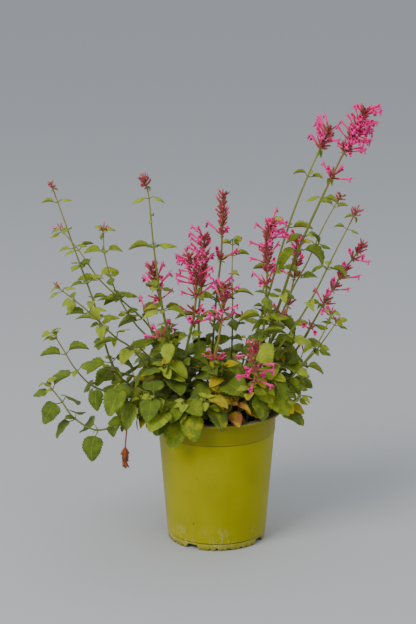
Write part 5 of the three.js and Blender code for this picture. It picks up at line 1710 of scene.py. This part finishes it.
def plastic_finish(name, colour, deep, scuff, scuffs, wear):
    finish = Finish(name, Specular_IOR_Level=0.24)
    mottle = finish.group(mottle_group(), Patch_size=0.05, Grain_size=0.0011)
    fine = finish.group(mottle_group(), Patch_size=0.0035, Grain_size=0.001)
    marks = finish.group(scuffs)
    z = finish.add("ShaderNodeSeparateXYZ", {0: finish.where}).outputs[2]
    body = finish.blend(finish.times(mottle["Patches"], 0.3), colour, deep)
    # Painted shade: the neck under the lip darkens towards the deep colour.
    neck = finish.between(z, *NECK_SHADE, 0.0, 0.7)
    body = finish.blend(neck, body, deep)
    # The skirt is paler: rubbed patches, and a little painted light all over it.
    skirt = finish.between(z, *PALE_SKIRT, 1.0, 0.0)
    worn = finish.times(skirt, finish.times_plus(fine["Patches"], 0.22, 0.04))
    body = finish.blend(finish.times(worn, wear), body, scuff)
    # Painted shade: a dark line under each step of the wall.
    for height, width, depth in STEP_SHADES:
        gap = finish.maths("ABSOLUTE", finish.minus(z, height))
        step_shade = finish.between(gap, 0.4 * width, width, depth, 0.0)
        body = finish.blend(step_shade, body, (0.06, 0.04, 0.0))
    smears = finish.times(marks["Smears"], wear)
    body = finish.blend(smears, body, scuff)
    body = finish.blend(finish.times(marks["Specks"], 0.8), body, (0.03, 0.02, 0.01))
    finish.feed("Base Color", body)
    rough = finish.times_plus(mottle["Grain"], 0.08, 0.36)
    finish.feed("Roughness", finish.times_plus(smears, 0.3, rough))
    finish.relief(mottle["Grain"], 0.00008, 0.5)
    return finish.material


def compost_finish(settings):
    finish = Finish("Compost", Specular_IOR_Level=0.25)
    mottle = finish.group(mottle_group(), Patch_size=0.008, Grain_size=0.0012)
    colour = finish.blend(mottle["Patches"], settings.dark, settings.brown)
    fibres = finish.between(finish.noise(finish.where, 0.0022, 4.0, 0.7), 0.62, 0.74, 0.0, 0.7)
    finish.feed("Base Color", finish.blend(fibres, colour, settings.fibre))
    finish.grainy(mottle["Grain"], -0.15, 0.98, 0.0006, 1.0)
    return finish.material


# Settings

def colour_property(name, description, red, green, blue):
    return FloatVectorProperty(
        name=name, description=description, subtype="COLOR", size=3, min=0, max=1,
        default=linear(red, green, blue),
    )


def share_property(name, description, default):
    return FloatProperty(
        name=name, description=description, default=default, min=0, max=1, subtype="FACTOR")


def length_property(name, description, default, least=0.0):
    return FloatProperty(
        name=name, description=description, default=default, min=least, unit="LENGTH")


def power_property(name, description, default):
    return FloatProperty(
        name=name, description=description, default=default, min=0, unit="POWER")


class HyssopPotSettings(bpy.types.PropertyGroup):
    """Sizes and colours of the pot"""
    sides: IntProperty(
        name="Sides", description="Steps round the pot's wall", default=360, min=60, max=720)
    colour: colour_property("Lime", "Outside of the pot", 163, 158, 0)
    # Deep lime also paints the shade on the neck under the lip.
    deep: colour_property("Deep lime", "Uneven patches, seams and the foot line", 134, 128, 0)
    lining: colour_property("Lining", "Inside of the pot and top of its lip", 141, 132, 116)
    lining_deep: colour_property("Deep lining", "Patches inside the pot", 118, 109, 93)
    scuff: colour_property("Scuffs", "Rubbed marks low on the wall", 204, 193, 136)
    wear: share_property("Wear", "Strength of the scuffs", 0.85)


class HyssopCompostSettings(bpy.types.PropertyGroup):
    """Crumbs and colours of the compost"""
    density: FloatProperty(
        name="Crumbs per square metre", description="How thickly crumbs lie on the surface",
        default=68000, min=0)
    least: length_property("Least crumb", "Smallest crumb", 0.0007)
    largest: length_property("Largest crumb", "Largest crumb", 0.0024)
    dark: colour_property("Dark", "Wet compost", 27, 19, 13)
    brown: colour_property("Brown", "Drier compost", 56, 40, 27)
    fibre: colour_property("Fibre", "Pale fibres", 106, 79, 52)


class HyssopFoliageSettings(bpy.types.PropertyGroup):
    """Stems and leaves"""
    filling: share_property("Small leaves", "Share of small leaves between the pairs", 0.9)
    rounding: FloatProperty(
        name="Corner rounding", description="Rounding of the square stems, against their radius",
        default=0.36, min=0, max=0.7)
    dark_leaf: colour_property("Dark leaf", "Shaded patches", 74, 96, 8)
    leaf: colour_property("Leaf", "Usual leaf", 146, 168, 28)
    pale_leaf: colour_property("Pale leaf", "Youngest leaves", 186, 198, 58)
    yellow_leaf: colour_property("Yellow leaf", "Ageing leaves", 198, 174, 14)
    brown_leaf: colour_property("Brown leaf", "Withered leaves", 166, 100, 56)
    vein: colour_property("Veins", "Rib and side veins", 166, 172, 56)
    underside: colour_property("Underside", "Lower face of the leaves", 148, 156, 52)
    stem_low: colour_property("Stem foot", "Stems at the compost", 76, 78, 16)
    stem: colour_property("Stem", "Stems half way up", 112, 122, 22)
    stem_high: colour_property("Stem top", "Stems under their flowers", 148, 140, 44)


class HyssopFlowerSettings(bpy.types.PropertyGroup):
    """Flowers and calyces"""
    more: share_property("More calyces", "Share of extra calyces in each whorl", 0.5)
    petal_base: colour_property("Tube", "Tube near its calyx", 228, 14, 96)
    petal: colour_property("Petal", "Flaring tube", 255, 20, 138)
    petal_tip: colour_property("Petal tip", "Lobes", 255, 66, 184)
    calyx_foot: colour_property("Calyx foot", "Foot of each calyx", 138, 88, 40)
    calyx: colour_property("Calyx", "Middle of each calyx", 176, 64, 70)
    calyx_tip: colour_property("Calyx tip", "Teeth of each calyx", 160, 44, 57)
    dry: colour_property("Dry head", "Dried calyces", 176, 88, 27)
    dry_tip: colour_property("Dry tips", "Tips of dried calyces", 134, 54, 22)


class HyssopStageSettings(bpy.types.PropertyGroup):
    """Floor, light and camera"""
    floor: colour_property("Floor", "Floor and backdrop", 190, 192, 194)
    key: power_property("Key light", "Large soft light from the front left", 74)
    fill: power_property("Fill light", "Soft light from the right", 6.4)
    sky: FloatProperty(
        name="Sky", description="Strength of the even light all round", default=0.64, min=0)
    distance: length_property("Distance", "Camera to the pot's middle, level", 2.7, 0.5)
    height: length_property("Height", "Camera above the floor", 1.051)
    pitch: FloatProperty(
        name="Pitch", description="Downward tilt of the camera", default=math.radians(14.78),
        subtype="ANGLE")


class HyssopSettings(bpy.types.PropertyGroup):
    """All settings of the potted hyssop"""
    pot: PointerProperty(type=HyssopPotSettings)
    compost: PointerProperty(type=HyssopCompostSettings)
    foliage: PointerProperty(type=HyssopFoliageSettings)
    flowers: PointerProperty(type=HyssopFlowerSettings)
    stage: PointerProperty(type=HyssopStageSettings)


# Pieces

def stand_in(piece, node):
    """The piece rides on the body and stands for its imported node."""
    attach(piece, BODY)
    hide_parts(node)


def foot_edge(angle):
    """Height of the skirt's foot at an angle in degrees from the front."""
    height = 0.0
    for index, slot in enumerate(DRAIN_SLOTS):
        cuts = [(slot, *DRAIN_SLOT)]
        cuts += [(slot + turn, width, SCALLOP_HEIGHT) for turn, width in SCALLOPS]
        for place, width, cut in cuts:
            off = (angle - place + 180) % 360 - 180
            beside = abs(SKIRT_FOOT_RADIUS * math.sin(math.radians(off)))
            if abs(off) < 60 and beside < width / 2:
                slope = (width / 2 - beside) / (width / 2 - width / 3)
                height = max(height, min(cut, (cut + 1) * slope - 1))
        for turn, half, cut in NOTCHES:
            place = slot + turn + 1.6 * math.sin(5 * index + turn)
            off = ((angle - place + 180) % 360 - 180) / half
            depth = cut * max(0, 1 - off * off) ** 0.5
            height = max(height, depth * (0.8 + 0.2 * math.cos(turn + index)))
    return height


def pot_profile():
    """Radius and height of each ring outside and inside. No height means the cut foot."""
    neck, inner = NECK_TOP_RADIUS, NECK_TOP_RADIUS - WALL_THICKNESS
    rim, top = RIM_RADIUS, POT_HEIGHT
    under = top - LIP_THICKNESS
    foot, skirt = SKIRT_FOOT_RADIUS, SKIRT_TOP_RADIUS
    outside = [
        (0, 0), (11.4, 0), (12, 0.5), (CENTRE_PAD_RADIUS, FLOOR_UNDERSIDE - 0.4),
        (CENTRE_PAD_RADIUS + 0.5, FLOOR_UNDERSIDE), (skirt - 2.3, FLOOR_UNDERSIDE),
        (skirt - WALL_THICKNESS, FLOOR_UNDERSIDE - 0.5), (foot - WALL_THICKNESS, None),
        (foot - WALL_THICKNESS + 0.4, None), (foot - 0.3, None), (foot, None),
        (skirt - 0.05, FLOOR_UNDERSIDE), (skirt, 10.2), (skirt + 0.05, 10.7),
        (WALL_FOOT_RADIUS - 0.35, 10.9), (WALL_FOOT_RADIUS - 0.05, 11.15),
        (WALL_FOOT_RADIUS + 0.02, WALL_FOOT_HEIGHT), (WALL_FOOT_RADIUS + 0.1, 12.4),
        (WALL_FOOT_RADIUS + 4.0, 61.5), (WALL_FOOT_RADIUS + 8.0, 111.5),
        (WALL_TOP_RADIUS - 0.1, NECK_FOOT_HEIGHT - 1.2), (WALL_TOP_RADIUS, NECK_FOOT_HEIGHT - 0.1),
        (WALL_TOP_RADIUS + 0.3, NECK_FOOT_HEIGHT + 0.1), (NECK_FOOT_RADIUS - 0.1, 164.35),
        (NECK_FOOT_RADIUS, 164.9), (neck - 0.06, under - 1.6), (neck + 0.2, under - 0.5),
        (neck + 0.9, under), (rim - 2.4, under), (rim - LIP_THICKNESS - 0.1, under - 0.2),
        (rim - LIP_THICKNESS, under - 0.5), (rim - LIP_THICKNESS, top - LIP_DROP + 0.2),
        (rim - LIP_THICKNESS + 0.2, top - LIP_DROP), (rim - 0.3, top - LIP_DROP),
        (rim, top - LIP_DROP + 0.3), (rim, top - 1.0), (rim - 0.15, top - 0.45),
    ]
    lining = [
        (rim - 0.5, top - 0.1), (rim - 1.0, top), (inner + 1.6, top), (inner + 0.6, top - 0.25),
        (inner + 0.1, top - 0.9), (inner - 0.1, top - 2), (inner - 3.5, 150),
        (WALL_FOOT_RADIUS - WALL_THICKNESS + 0.1, FLOOR_TOP + 2),
        (WALL_FOOT_RADIUS - WALL_THICKNESS - 0.5, FLOOR_TOP + 0.4),
        (WALL_FOOT_RADIUS - WALL_THICKNESS - 2, FLOOR_TOP), (0, FLOOR_TOP),
    ]
    return outside, lining


def make_pot(settings):
    outside, lining = pot_profile()
    rows, sides = [*outside, *lining], settings.sides
    angles = np.arange(sides) * 360 / sides
    edge = np.array([foot_edge(a) for a in angles])
    turns = np.radians(angles) - math.pi / 2
    points = [(0, 0, rows[0][1] * MM)]
    for radius, height in rows[1:-1]:
        z = edge if height is None else np.full(sides, float(height))
        points += list(np.stack([radius * np.cos(turns), radius * np.sin(turns), z], -1) * MM)
    points.append((0, 0, rows[-1][1] * MM))
    rings, last = len(rows) - 2, len(points) - 1
    faces = [(0, 1 + (j + 1) % sides, 1 + j) for j in range(sides)]
    for i in range(rings - 1):
        faces += band_faces(1 + i * sides, 1 + (i + 1) * sides, sides)
    inmost = last - sides
    faces += [(inmost + j, inmost + (j + 1) % sides, last) for j in range(sides)]
    mesh = make_mesh("pot_body", points, faces)
    scuffs = scuff_group()
    mesh.materials.append(plastic_finish(
        "Lime plastic", settings.colour, settings.deep, settings.scuff, scuffs, settings.wear))
    mesh.materials.append(plastic_finish(
        "Taupe lining", settings.lining, settings.lining_deep, settings.scuff, scuffs,
        LINING_WEAR))
    is_lining = np.arange(len(faces)) >= sides * (len(outside) - 1)
    mesh.polygons.foreach_set("material_index", is_lining.astype(int))
    mesh.polygons.foreach_set("use_smooth", [True] * len(faces))
    stand_in(add_to_scene("pot_body", mesh), "pot")


def compost_height(x, y):
    wave = math.sin(x / 9 + 1) * math.cos(y / 11) + 0.5 * math.sin(x / 4 - y / 5)
    fine = math.sin(x * 1.3 + 2 * math.sin(y * 0.7)) * math.sin(y * 1.1 + 1.5 * math.sin(x * 0.9))
    inside = clamp((82 - math.hypot(x, y)) / 20, 0, 1)
    return COMPOST_TOP + COMPOST_LUMP * wave * inside + 0.35 * fine


def crumb_shape():
    """A lump with twenty faces."""
    golden = (1 + math.sqrt(5)) / 2
    signs = [(u, v) for v in (1, -1) for u in (1, -1)]
    points = [(0, u, v * golden) for u, v in signs]
    points += [(u, v * golden, 0) for u, v in signs]
    points += [(u * golden, 0, v) for u, v in signs]
    faces = (
        (0, 1, 8), (0, 9, 1), (0, 8, 4), (0, 4, 5), (0, 5, 9), (1, 6, 8), (1, 7, 6), (1, 9, 7),
        (2, 10, 3), (2, 3, 11), (2, 4, 10), (2, 5, 4), (2, 11, 5), (3, 10, 6), (3, 6, 7),
        (3, 7, 11), (4, 8, 10), (6, 10, 8), (5, 11, 9), (7, 9, 11),
    )
    return make_mesh("crumb", np.array(points) / 2, faces)


def make_compost(settings):
    sides, rings = COMPOST_SIDES, COMPOST_RINGS
    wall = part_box("compost")[1].x / MM - 0.2
    foot = WALL_FOOT_RADIUS - WALL_THICKNESS - 0.6
    points = [(0, 0, compost_height(0, 0))]
    for i in range(1, rings + 1):
        for j in range(sides):
            angle = 2 * math.pi * (j + 0.5 * (i % 2)) / sides
            x, y = wall * i / rings * math.cos(angle), wall * i / rings * math.sin(angle)
            points.append((x, y, compost_height(x, y)))
    for j in range(sides):
        angle = 2 * math.pi * (j + 0.5 * (rings % 2)) / sides
        points.append((foot * math.cos(angle), foot * math.sin(angle), FLOOR_TOP + 0.3))
    faces = [(0, 1 + j, 1 + (j + 1) % sides) for j in range(sides)]
    for i in range(rings):
        a, b = 1 + i * sides, 1 + (i + 1) * sides
        for j in range(sides):
            n = (j + 1) % sides
            faces.append((a + j, b + j, b + n, a + n))
    faces.append(tuple(1 + rings * sides + j for j in range(sides))[::-1])
    mesh = make_mesh("compost_fill", np.array(points) * MM, faces)
    mesh.polygons.foreach_set("use_smooth", [True] * len(faces))
    crumb = bpy.data.objects.new("crumb", crumb_shape())
    piece = dress(add_to_scene("compost_fill", mesh), crumb_tree(), {
        "Crumb": crumb, "Density": settings.density, "Least size": settings.least,
        "Largest size": settings.largest, "Height": (COMPOST_TOP - 6) * MM,
        "Finish": compost_finish(settings),
    })
    bpy.data.objects.remove(crumb)
    stand_in(piece, "compost")


def lit_turn(leaf, most):
    """The leaf's turn with its blade rolled about the rib towards the light."""
    _, y, z = leaf["axes"]
    roll = math.atan2(-dot(y, LIGHT_WAY), dot(z, LIGHT_WAY))
    return (leaf["turn"][0] + clamp(roll, -most, most), *leaf["turn"][1:])


def add_leaf(skeleton, leaf, draw, age, tint, stalk):
    """A leaf on its stalk, which bends into the rib."""
    root, base, reach = leaf["root"], leaf["base"], leaf["length"]
    lift = scale(leaf["along"], 0.06 * reach)
    bow = [
        mix(root, base, 0.12), add(mix(root, base, 0.4), scale(lift, -0.35)),
        add(mix(root, base, 0.75), scale(lift, -0.3)), base, placed(leaf, (0.05 * reach, 0, 0)),
    ]
    thick = [1.25 * stalk, stalk, 0.9 * stalk, 0.85 * stalk, 0.6 * stalk]
    skeleton.line(bow, STALK_LINE, thick, [0.45, 0.5, 0.55, 0.6, 0.6], age=age)
    variant = math.floor(3 * draw())
    filler = leaf["form_name"] in ("small", "narrow")
    most = math.radians(SMALL_TURN if filler else PAIR_TURN)
    most *= 0.15 + 0.95 * draw()
    gain = LEAF_GAIN.get(leaf["form_name"], 1)
    if leaf["form_name"] == "lance" and reach < SHORT_LANCE:
        gain = SHORT_LANCE_GAIN
    if placed(leaf, (gain * reach, 0, 0))[1] > MOST_BACK:
        gain = 1
    size = reach * MM * gain
    skeleton.item(
        leaf["base"], lit_turn(leaf, most), shape_number(leaf["form_name"], variant), size,
        tint=tint, age=age,
    )


def add_stem_line(skeleton, stem, start, end, sink=0.0):
    """The stem's own line, a little thicker at its nodes."""
    line = stem["line"]
    joints = [node["distance"] for node in stem.get("nodes", [])]
    joints += [whorl["distance"] for whorl in stem.get("whorls", [])]
    count = max(4, math.ceil((end - start) / 3))
    stops = sorted({
        *(start + (end - start) * i / count for i in range(count + 1)),
        *(d for d in joints if start < d < end),
    })
    points, thick, shares = [], [], []
    if sink:
        points.append(add(line.point(start), (0, 0, -sink)))
        thick.append(STEM_GAIN * stem_radius(stem, 0))
        shares.append(0.0)
    for d in stops:
        near = min((abs(d - joint) for joint in joints), default=9)
        points.append(line.point(d))
        swelling = 1 + 0.16 * math.exp(-((near / 2.2) ** 2))
        thick.append(STEM_GAIN * stem_radius(stem, d) * swelling)
        shares.append(d / line.length)
    skeleton.line(points, STEM_LINE, thick, shares)


def leaf_age(leaf, draw):
    """Leaves low in the middle of the plant yellow first."""
    x, y, height = leaf["base"]
    low = clamp((BUSH_HEIGHT - height) / 110, 0, 1)
    low *= clamp((BUSH_RADIUS - math.hypot(x, y)) / 30, 0, 1)
    age = 0.18 * draw() + 0.2 * low
    if draw() < 0.22 * low:
        age += 0.3 + 0.45 * draw()
    return age


def inner_shade(leaf):
    """Painted shade: leaves low in the middle of the plant, where the others shade them, are
    darker.
    """
    x, y, height = leaf["base"]
    return clamp(math.hypot(x, y) / 90, 0.25, 1) if height < BUSH_HEIGHT else 1.0


def make_plant_piece(skeleton, name, node, inputs):
    """The dressed skeleton, as the piece that stands for a node."""
    piece = skeleton.to_object(name)
    dress(piece, growth_tree(), {"Shapes": shape_collection(), **inputs})
    stand_in(piece, node)


def add_stem_leaves(skeleton, stem, draw):
    """The pairs and the small leaves. Those at the tip of a stem with no spike are the palest."""
    withered = stem["name"] == WITHERED
    tip = None if "spike" in stem else stem["line"].point(stem["line"].length)
    for leaf in [leaf for node in stem["nodes"] for leaf in node["leaves"]]:
        age = 0.7 + 0.9 * draw() if withered else leaf_age(leaf, draw)
        height = leaf["base"][2]
        # The tint is random and rises with height; deep in the bush it is lowered by painted
        # shade.
        tint = clamp(0.9 * draw() + 0.003 * (height - 260), 0, 1) * inner_shade(leaf)
        if leaf["form_name"] == "arched":
            tint *= 0.4
        add_leaf(skeleton, leaf, draw, age, tint, min(0.8, leaf["length"] / 20))
    for leaf in stem["fillers"]:
        age = 0.6 + 1.1 * draw() if withered else leaf_age(leaf, draw)
        # Deep in the bush the tint is lowered by painted shade.
        tint = (0.1 + 0.85 * draw()) * inner_shade(leaf)
        if tip and math.dist(leaf["root"], tip) < YOUNG_TIP:
            tint = 1.0
        add_leaf(skeleton, leaf, draw, age, tint, 0.03 * leaf["length"] + 0.15)


def make_stems(settings, flowers, stems):
    inputs = {
        "Stem finish": stem_finish(
            "Hyssop stem", settings.stem_low, settings.stem, settings.stem_high),
        "Leaf finish": leaf_finish("Hyssop leaf", settings), **flower_finishes(flowers),
        "Corner rounding": settings.rounding,
    }
    for index, stem in enumerate(stems):
        draw = draws(STEM_SEED + 13 * index)
        skeleton = Skeleton()
        end = stem["line"].length
        if "spike" in stem:
            end = stem["spike"]["start"] - JOINT_GAP / 2
        add_stem_line(skeleton, dict(stem, whorls=[]), stem["line"].run[0], end, ROOT_DEPTH)
        add_stem_leaves(skeleton, stem, draw)
        for head, has_stalk in stem["heads"]:
            if has_stalk:
                add_stem_line(skeleton, head, 0, head["line"].length)
            add_whorls(skeleton, head, draw)
        node = f"stem_{stem['name']}"
        make_plant_piece(skeleton, f"leafy_{node}", node, inputs)


def add_whorls(skeleton, stem, draw, shut=0.0, size=1.0, spread=0.0):
    """Flowers, calyces and buds. A dry head has no buds, and its calyces are shut by a share
    towards the stem. A head in bud has none either, and its calyces spread by a share. Flowers
    of a head that droops bend outwards and down by its share."""
    droop = DROOPING_HEADS.get(stem["name"], 0)
    for whorl in stem["whorls"]:
        along, _, _ = stem["line"].axes(whorl["distance"])
        for item in [*whorl["items"], *whorl["more"]]:
            kind = item["kind"]
            flower = kind == "flower"
            full = FLOWER_LENGTH if flower else CALYX_LENGTH
            all_buds = (stem["name"], whorl["distance"]) == SHUT_WHORL
            if all_buds or not (flower or shut) and draw() < BUD_SHARE and not spread:
                kind = "bud"
            out = unit(add(item["base"], scale(stem["line"].point(whorl["distance"]), -1)))
            way = unit(mix(mix(item["axes"][0], along, shut), out, spread))
            if flower and droop:
                way = unit(mix(way, add(out, (0, 0, -0.5)), droop))
            roll = math.radians(20 * (draw() - 0.5)) if flower else 6.28 * draw()
            skeleton.item(
                item["base"], (roll, -math.asin(clamp(way[2], -1, 1)), math.atan2(way[1], way[0])),
                shape_number(kind, math.floor(3 * draw())), size * item["length"] / full,
                tint=0.0 if spread else draw(),
            )


def add_bracts(skeleton, stem, draw, size):
    """Two narrow bracts below each whorl, longer and drooping below the lowest."""
    for index, whorl in enumerate(stem["whorls"]):
        for half in (0, 180):
            turn = math.radians(whorl["offset"] + half + 30 * (draw() - 0.5))
            spread = math.radians((84 if index else 100) + 24 * draw())
            bract = spike_item(stem, whorl["distance"] - 1.6, turn, spread, 1, "bract")
            reach = size * (4 + 4 * draw() if index else 11 + 4 * draw())
            kind = "small" if index else "lance"
            skeleton.item(
                bract["base"], bract["turn"], shape_number(kind, math.floor(3 * draw())),
                reach * whorl["taper"] * MM, tint=0.5 + 0.4 * draw(), age=0.1,
            )


def flower_finishes(settings):
    """Petal and calyx finishes, made once."""
    made = bpy.data.materials
    return {
        "Petal finish": made.get("Hyssop petal") or petal_finish(settings),
        "Calyx finish": made.get("Hyssop calyx") or calyx_finish(
            "Hyssop calyx", settings.calyx_foot, settings.calyx, settings.calyx_tip),
    }


def make_spikes(settings, foliage, stems):
    inputs = {
        "Stem finish": stem_finish(
            "Hyssop spike", foliage.stem, foliage.stem_high, settings.calyx_foot),
        "Leaf finish": leaf_finish("Hyssop bract", foliage), **flower_finishes(settings),
        "Corner rounding": foliage.rounding,
    }
    for index, stem in enumerate(s for s in stems if "spike" in s):
        draw = draws(SPIKE_SEED + 29 * index)
        size, spread = BUD_HEADS.get(stem["name"], (1.0, 0.0))
        share = SPARSE_SHARE if stem["name"] in SPARSE_SPIKES else 1.0
        grow_more_calyces(stem, share * settings.more, draw)
        skeleton = Skeleton()
        start = stem["spike"]["start"] + JOINT_GAP / 2
        bare = BARE_STRETCHES.get(stem["name"], ())
        length = stem["line"].length
        end = min([length, *(low for low, high in bare if high > length)])
        add_stem_line(skeleton, dict(stem, nodes=[]), start, end)
        head = dict(stem, whorls=[
            whorl for whorl in stem["whorls"]
            if not any(low < whorl["distance"] < high for low, high in bare)
        ])
        add_whorls(skeleton, head, draw, size=size, spread=spread)
        add_bracts(skeleton, head, draw, size)
        node = f"spike_{stem['name']}"
        make_plant_piece(skeleton, f"flowers_{node}", node, inputs)


def make_dry_stalk(settings, dry):
    finish = calyx_finish("Dry calyx", settings.dry, settings.dry, settings.dry_tip)
    stalk = stem_finish("Dry stalk", settings.dry_tip, settings.dry, settings.dry)
    draw = draws(DRY_SEED)
    grow_more_calyces(dry, DRY_CALYX_SHARE, draw)
    skeleton = Skeleton()
    start = dry["spike"]["start"]
    add_stem_line(skeleton, dry, start, dry["line"].length)
    foot = [dry["line"].point(d) for d in (0, start)]
    skeleton.line(foot, STEM_LINE, [1.2, 1.1], [0, 0])
    add_whorls(skeleton, dry, draw, shut=DRY_SHUT)
    make_plant_piece(skeleton, "dry_flower_stalk", "dry_stalk", {
        "Corner rounding": 0.4, "Stem finish": stalk, "Leaf finish": finish,
        "Petal finish": finish, "Calyx finish": finish,
    })


PLANT = {}


def plant(filling):
    """The grown plant, made once."""
    if not PLANT:
        stems, dry, room = grow_plant()
        grow_more_flowers(room, stems)
        grow_young_heads(stems)
        grow_fillers(room, stems, filling)
        PLANT.update(stems=stems, dry=dry)
    return PLANT["stems"], PLANT["dry"]


def add_light(name, place, power, size, colour):
    """A soft light that points at the middle of the plant."""
    light = bpy.data.lights.new(name, "AREA")
    light.energy, light.size, light.color = power, size, colour
    lamp = add_to_scene(name, light)
    lamp.location = place
    aim = mathutils.Vector(LIGHT_AIM) - lamp.location
    lamp.rotation_euler = aim.to_track_quat("-Z", "Y").to_euler()


def make_stage(settings):
    """A pale round floor, soft lights and the camera."""
    turns = np.radians(np.arange(0, 360, 5))
    edge = np.stack([np.cos(turns), np.sin(turns), 0 * turns], -1) * FLOOR_RADIUS
    mesh = make_mesh("floor", edge, [range(len(turns))])
    finish = Finish("Pale floor", Roughness=0.85, Specular_IOR_Level=0.2)
    fine = finish.times(finish.noise(finish.where, 0.4, 2.0), 0.05)
    finish.feed("Base Color", finish.blend(fine, settings.floor, (0.5, 0.5, 0.5)))
    mesh.materials.append(finish.material)
    add_to_scene("floor", mesh)
    add_light("key", KEY_PLACE, settings.key, KEY_SIZE, (1.0, 0.98, 0.94))
    add_light("fill", FILL_PLACE, settings.fill, FILL_SIZE, (0.94, 0.97, 1.0))
    add_light("back", BACK_PLACE, BACK_SHARE * settings.fill, BACK_SIZE, (1.0, 1.0, 1.0))
    world = bpy.data.worlds.new("Soft sky")
    world.use_nodes = True
    sky = world.node_tree.nodes["Background"]
    sky.inputs["Color"].default_value = (0.9, 0.94, 1.0, 1.0)
    sky.inputs["Strength"].default_value = settings.sky
    bpy.context.scene.world = world

    lens = bpy.data.cameras.new("camera")
    lens.sensor_fit, lens.sensor_height = "VERTICAL", SENSOR_HEIGHT
    lens.lens = SENSOR_HEIGHT * FOCAL_LENGTH / PICTURE_HEIGHT
    lens.clip_start, lens.clip_end = 0.05, 30
    camera = add_to_scene("camera", lens)
    camera.location = (CAMERA_SIDE, -settings.distance, settings.height)
    camera.rotation_euler = (math.pi / 2 - settings.pitch, 0, 0)
    bpy.context.scene.camera = camera


# Add-on

class HYSSOP_OT_stage(bpy.types.Operator):
    """Make the floor, the lights and the camera"""
    bl_idname = "hyssop.make_stage"
    bl_label = "Stage"
    bl_options = {"REGISTER", "UNDO"}

    def execute(self, context):
        make_stage(context.scene.hyssop.stage)
        return {"FINISHED"}


class HYSSOP_OT_pot(bpy.types.Operator):
    """Make the lime green pot with its lip, skirt and drain slots"""
    bl_idname = "hyssop.make_pot"
    bl_label = "Pot"
    bl_options = {"REGISTER", "UNDO"}

    def execute(self, context):
        make_pot(context.scene.hyssop.pot)
        return {"FINISHED"}


class HYSSOP_OT_compost(bpy.types.Operator):
    """Make the compost with its crumbs"""
    bl_idname = "hyssop.make_compost"
    bl_label = "Compost"
    bl_options = {"REGISTER", "UNDO"}

    def execute(self, context):
        make_compost(context.scene.hyssop.compost)
        return {"FINISHED"}


class HYSSOP_OT_stems(bpy.types.Operator):
    """Make the square stems and shoots with their leaves"""
    bl_idname = "hyssop.make_stems"
    bl_label = "Leafy stems"
    bl_options = {"REGISTER", "UNDO"}

    def execute(self, context):
        settings = context.scene.hyssop
        stems, _ = plant(settings.foliage.filling)
        make_stems(settings.foliage, settings.flowers, stems)
        return {"FINISHED"}


class HYSSOP_OT_spikes(bpy.types.Operator):
    """Make the spikes with their flowers, calyces and bracts"""
    bl_idname = "hyssop.make_spikes"
    bl_label = "Flower spikes"
    bl_options = {"REGISTER", "UNDO"}

    def execute(self, context):
        settings = context.scene.hyssop
        stems, _ = plant(settings.foliage.filling)
        make_spikes(settings.flowers, settings.foliage, stems)
        return {"FINISHED"}


class HYSSOP_OT_dry_stalk(bpy.types.Operator):
    """Make the dry flower stalk that hangs at the left"""
    bl_idname = "hyssop.make_dry_stalk"
    bl_label = "Dry stalk"
    bl_options = {"REGISTER", "UNDO"}

    def execute(self, context):
        settings = context.scene.hyssop
        _, dry = plant(settings.foliage.filling)
        make_dry_stalk(settings.flowers, dry)
        return {"FINISHED"}


OPERATORS = (
    HYSSOP_OT_stage, HYSSOP_OT_pot, HYSSOP_OT_compost, HYSSOP_OT_stems, HYSSOP_OT_spikes,
    HYSSOP_OT_dry_stalk,
)


class HYSSOP_PT_sidebar(bpy.types.Panel):
    """Lists the pieces and their settings"""
    bl_label = "Potted giant hyssop"
    bl_space_type = "VIEW_3D"
    bl_region_type = "UI"
    bl_category = "Hyssop"

    def draw(self, context):
        for operator in OPERATORS:
            self.layout.operator(operator.bl_idname)
        settings = context.scene.hyssop
        for part in ("pot", "compost", "foliage", "flowers", "stage"):
            box = self.layout.box()
            box.label(text=part.capitalize())
            group = getattr(settings, part)
            for name in group.__annotations__:
                box.prop(group, name)


CLASSES = (
    HyssopPotSettings, HyssopCompostSettings, HyssopFoliageSettings, HyssopFlowerSettings,
    HyssopStageSettings, HyssopSettings, *OPERATORS, HYSSOP_PT_sidebar,
)


def register():
    for cls in CLASSES:
        bpy.utils.register_class(cls)
    bpy.types.Scene.hyssop = PointerProperty(type=HyssopSettings)


def unregister():
    del bpy.types.Scene.hyssop
    for cls in reversed(CLASSES):
        bpy.utils.unregister_class(cls)


def main():
    register()
    bpy.ops.hyssop.make_stage()
    bpy.ops.hyssop.make_pot()
    bpy.ops.hyssop.make_compost()
    bpy.ops.hyssop.make_stems()
    bpy.ops.hyssop.make_spikes()
    bpy.ops.hyssop.make_dry_stalk()
    remove_shapes()
    bpy.context.view_layer.update()


if __name__ == "__main__":
    main()
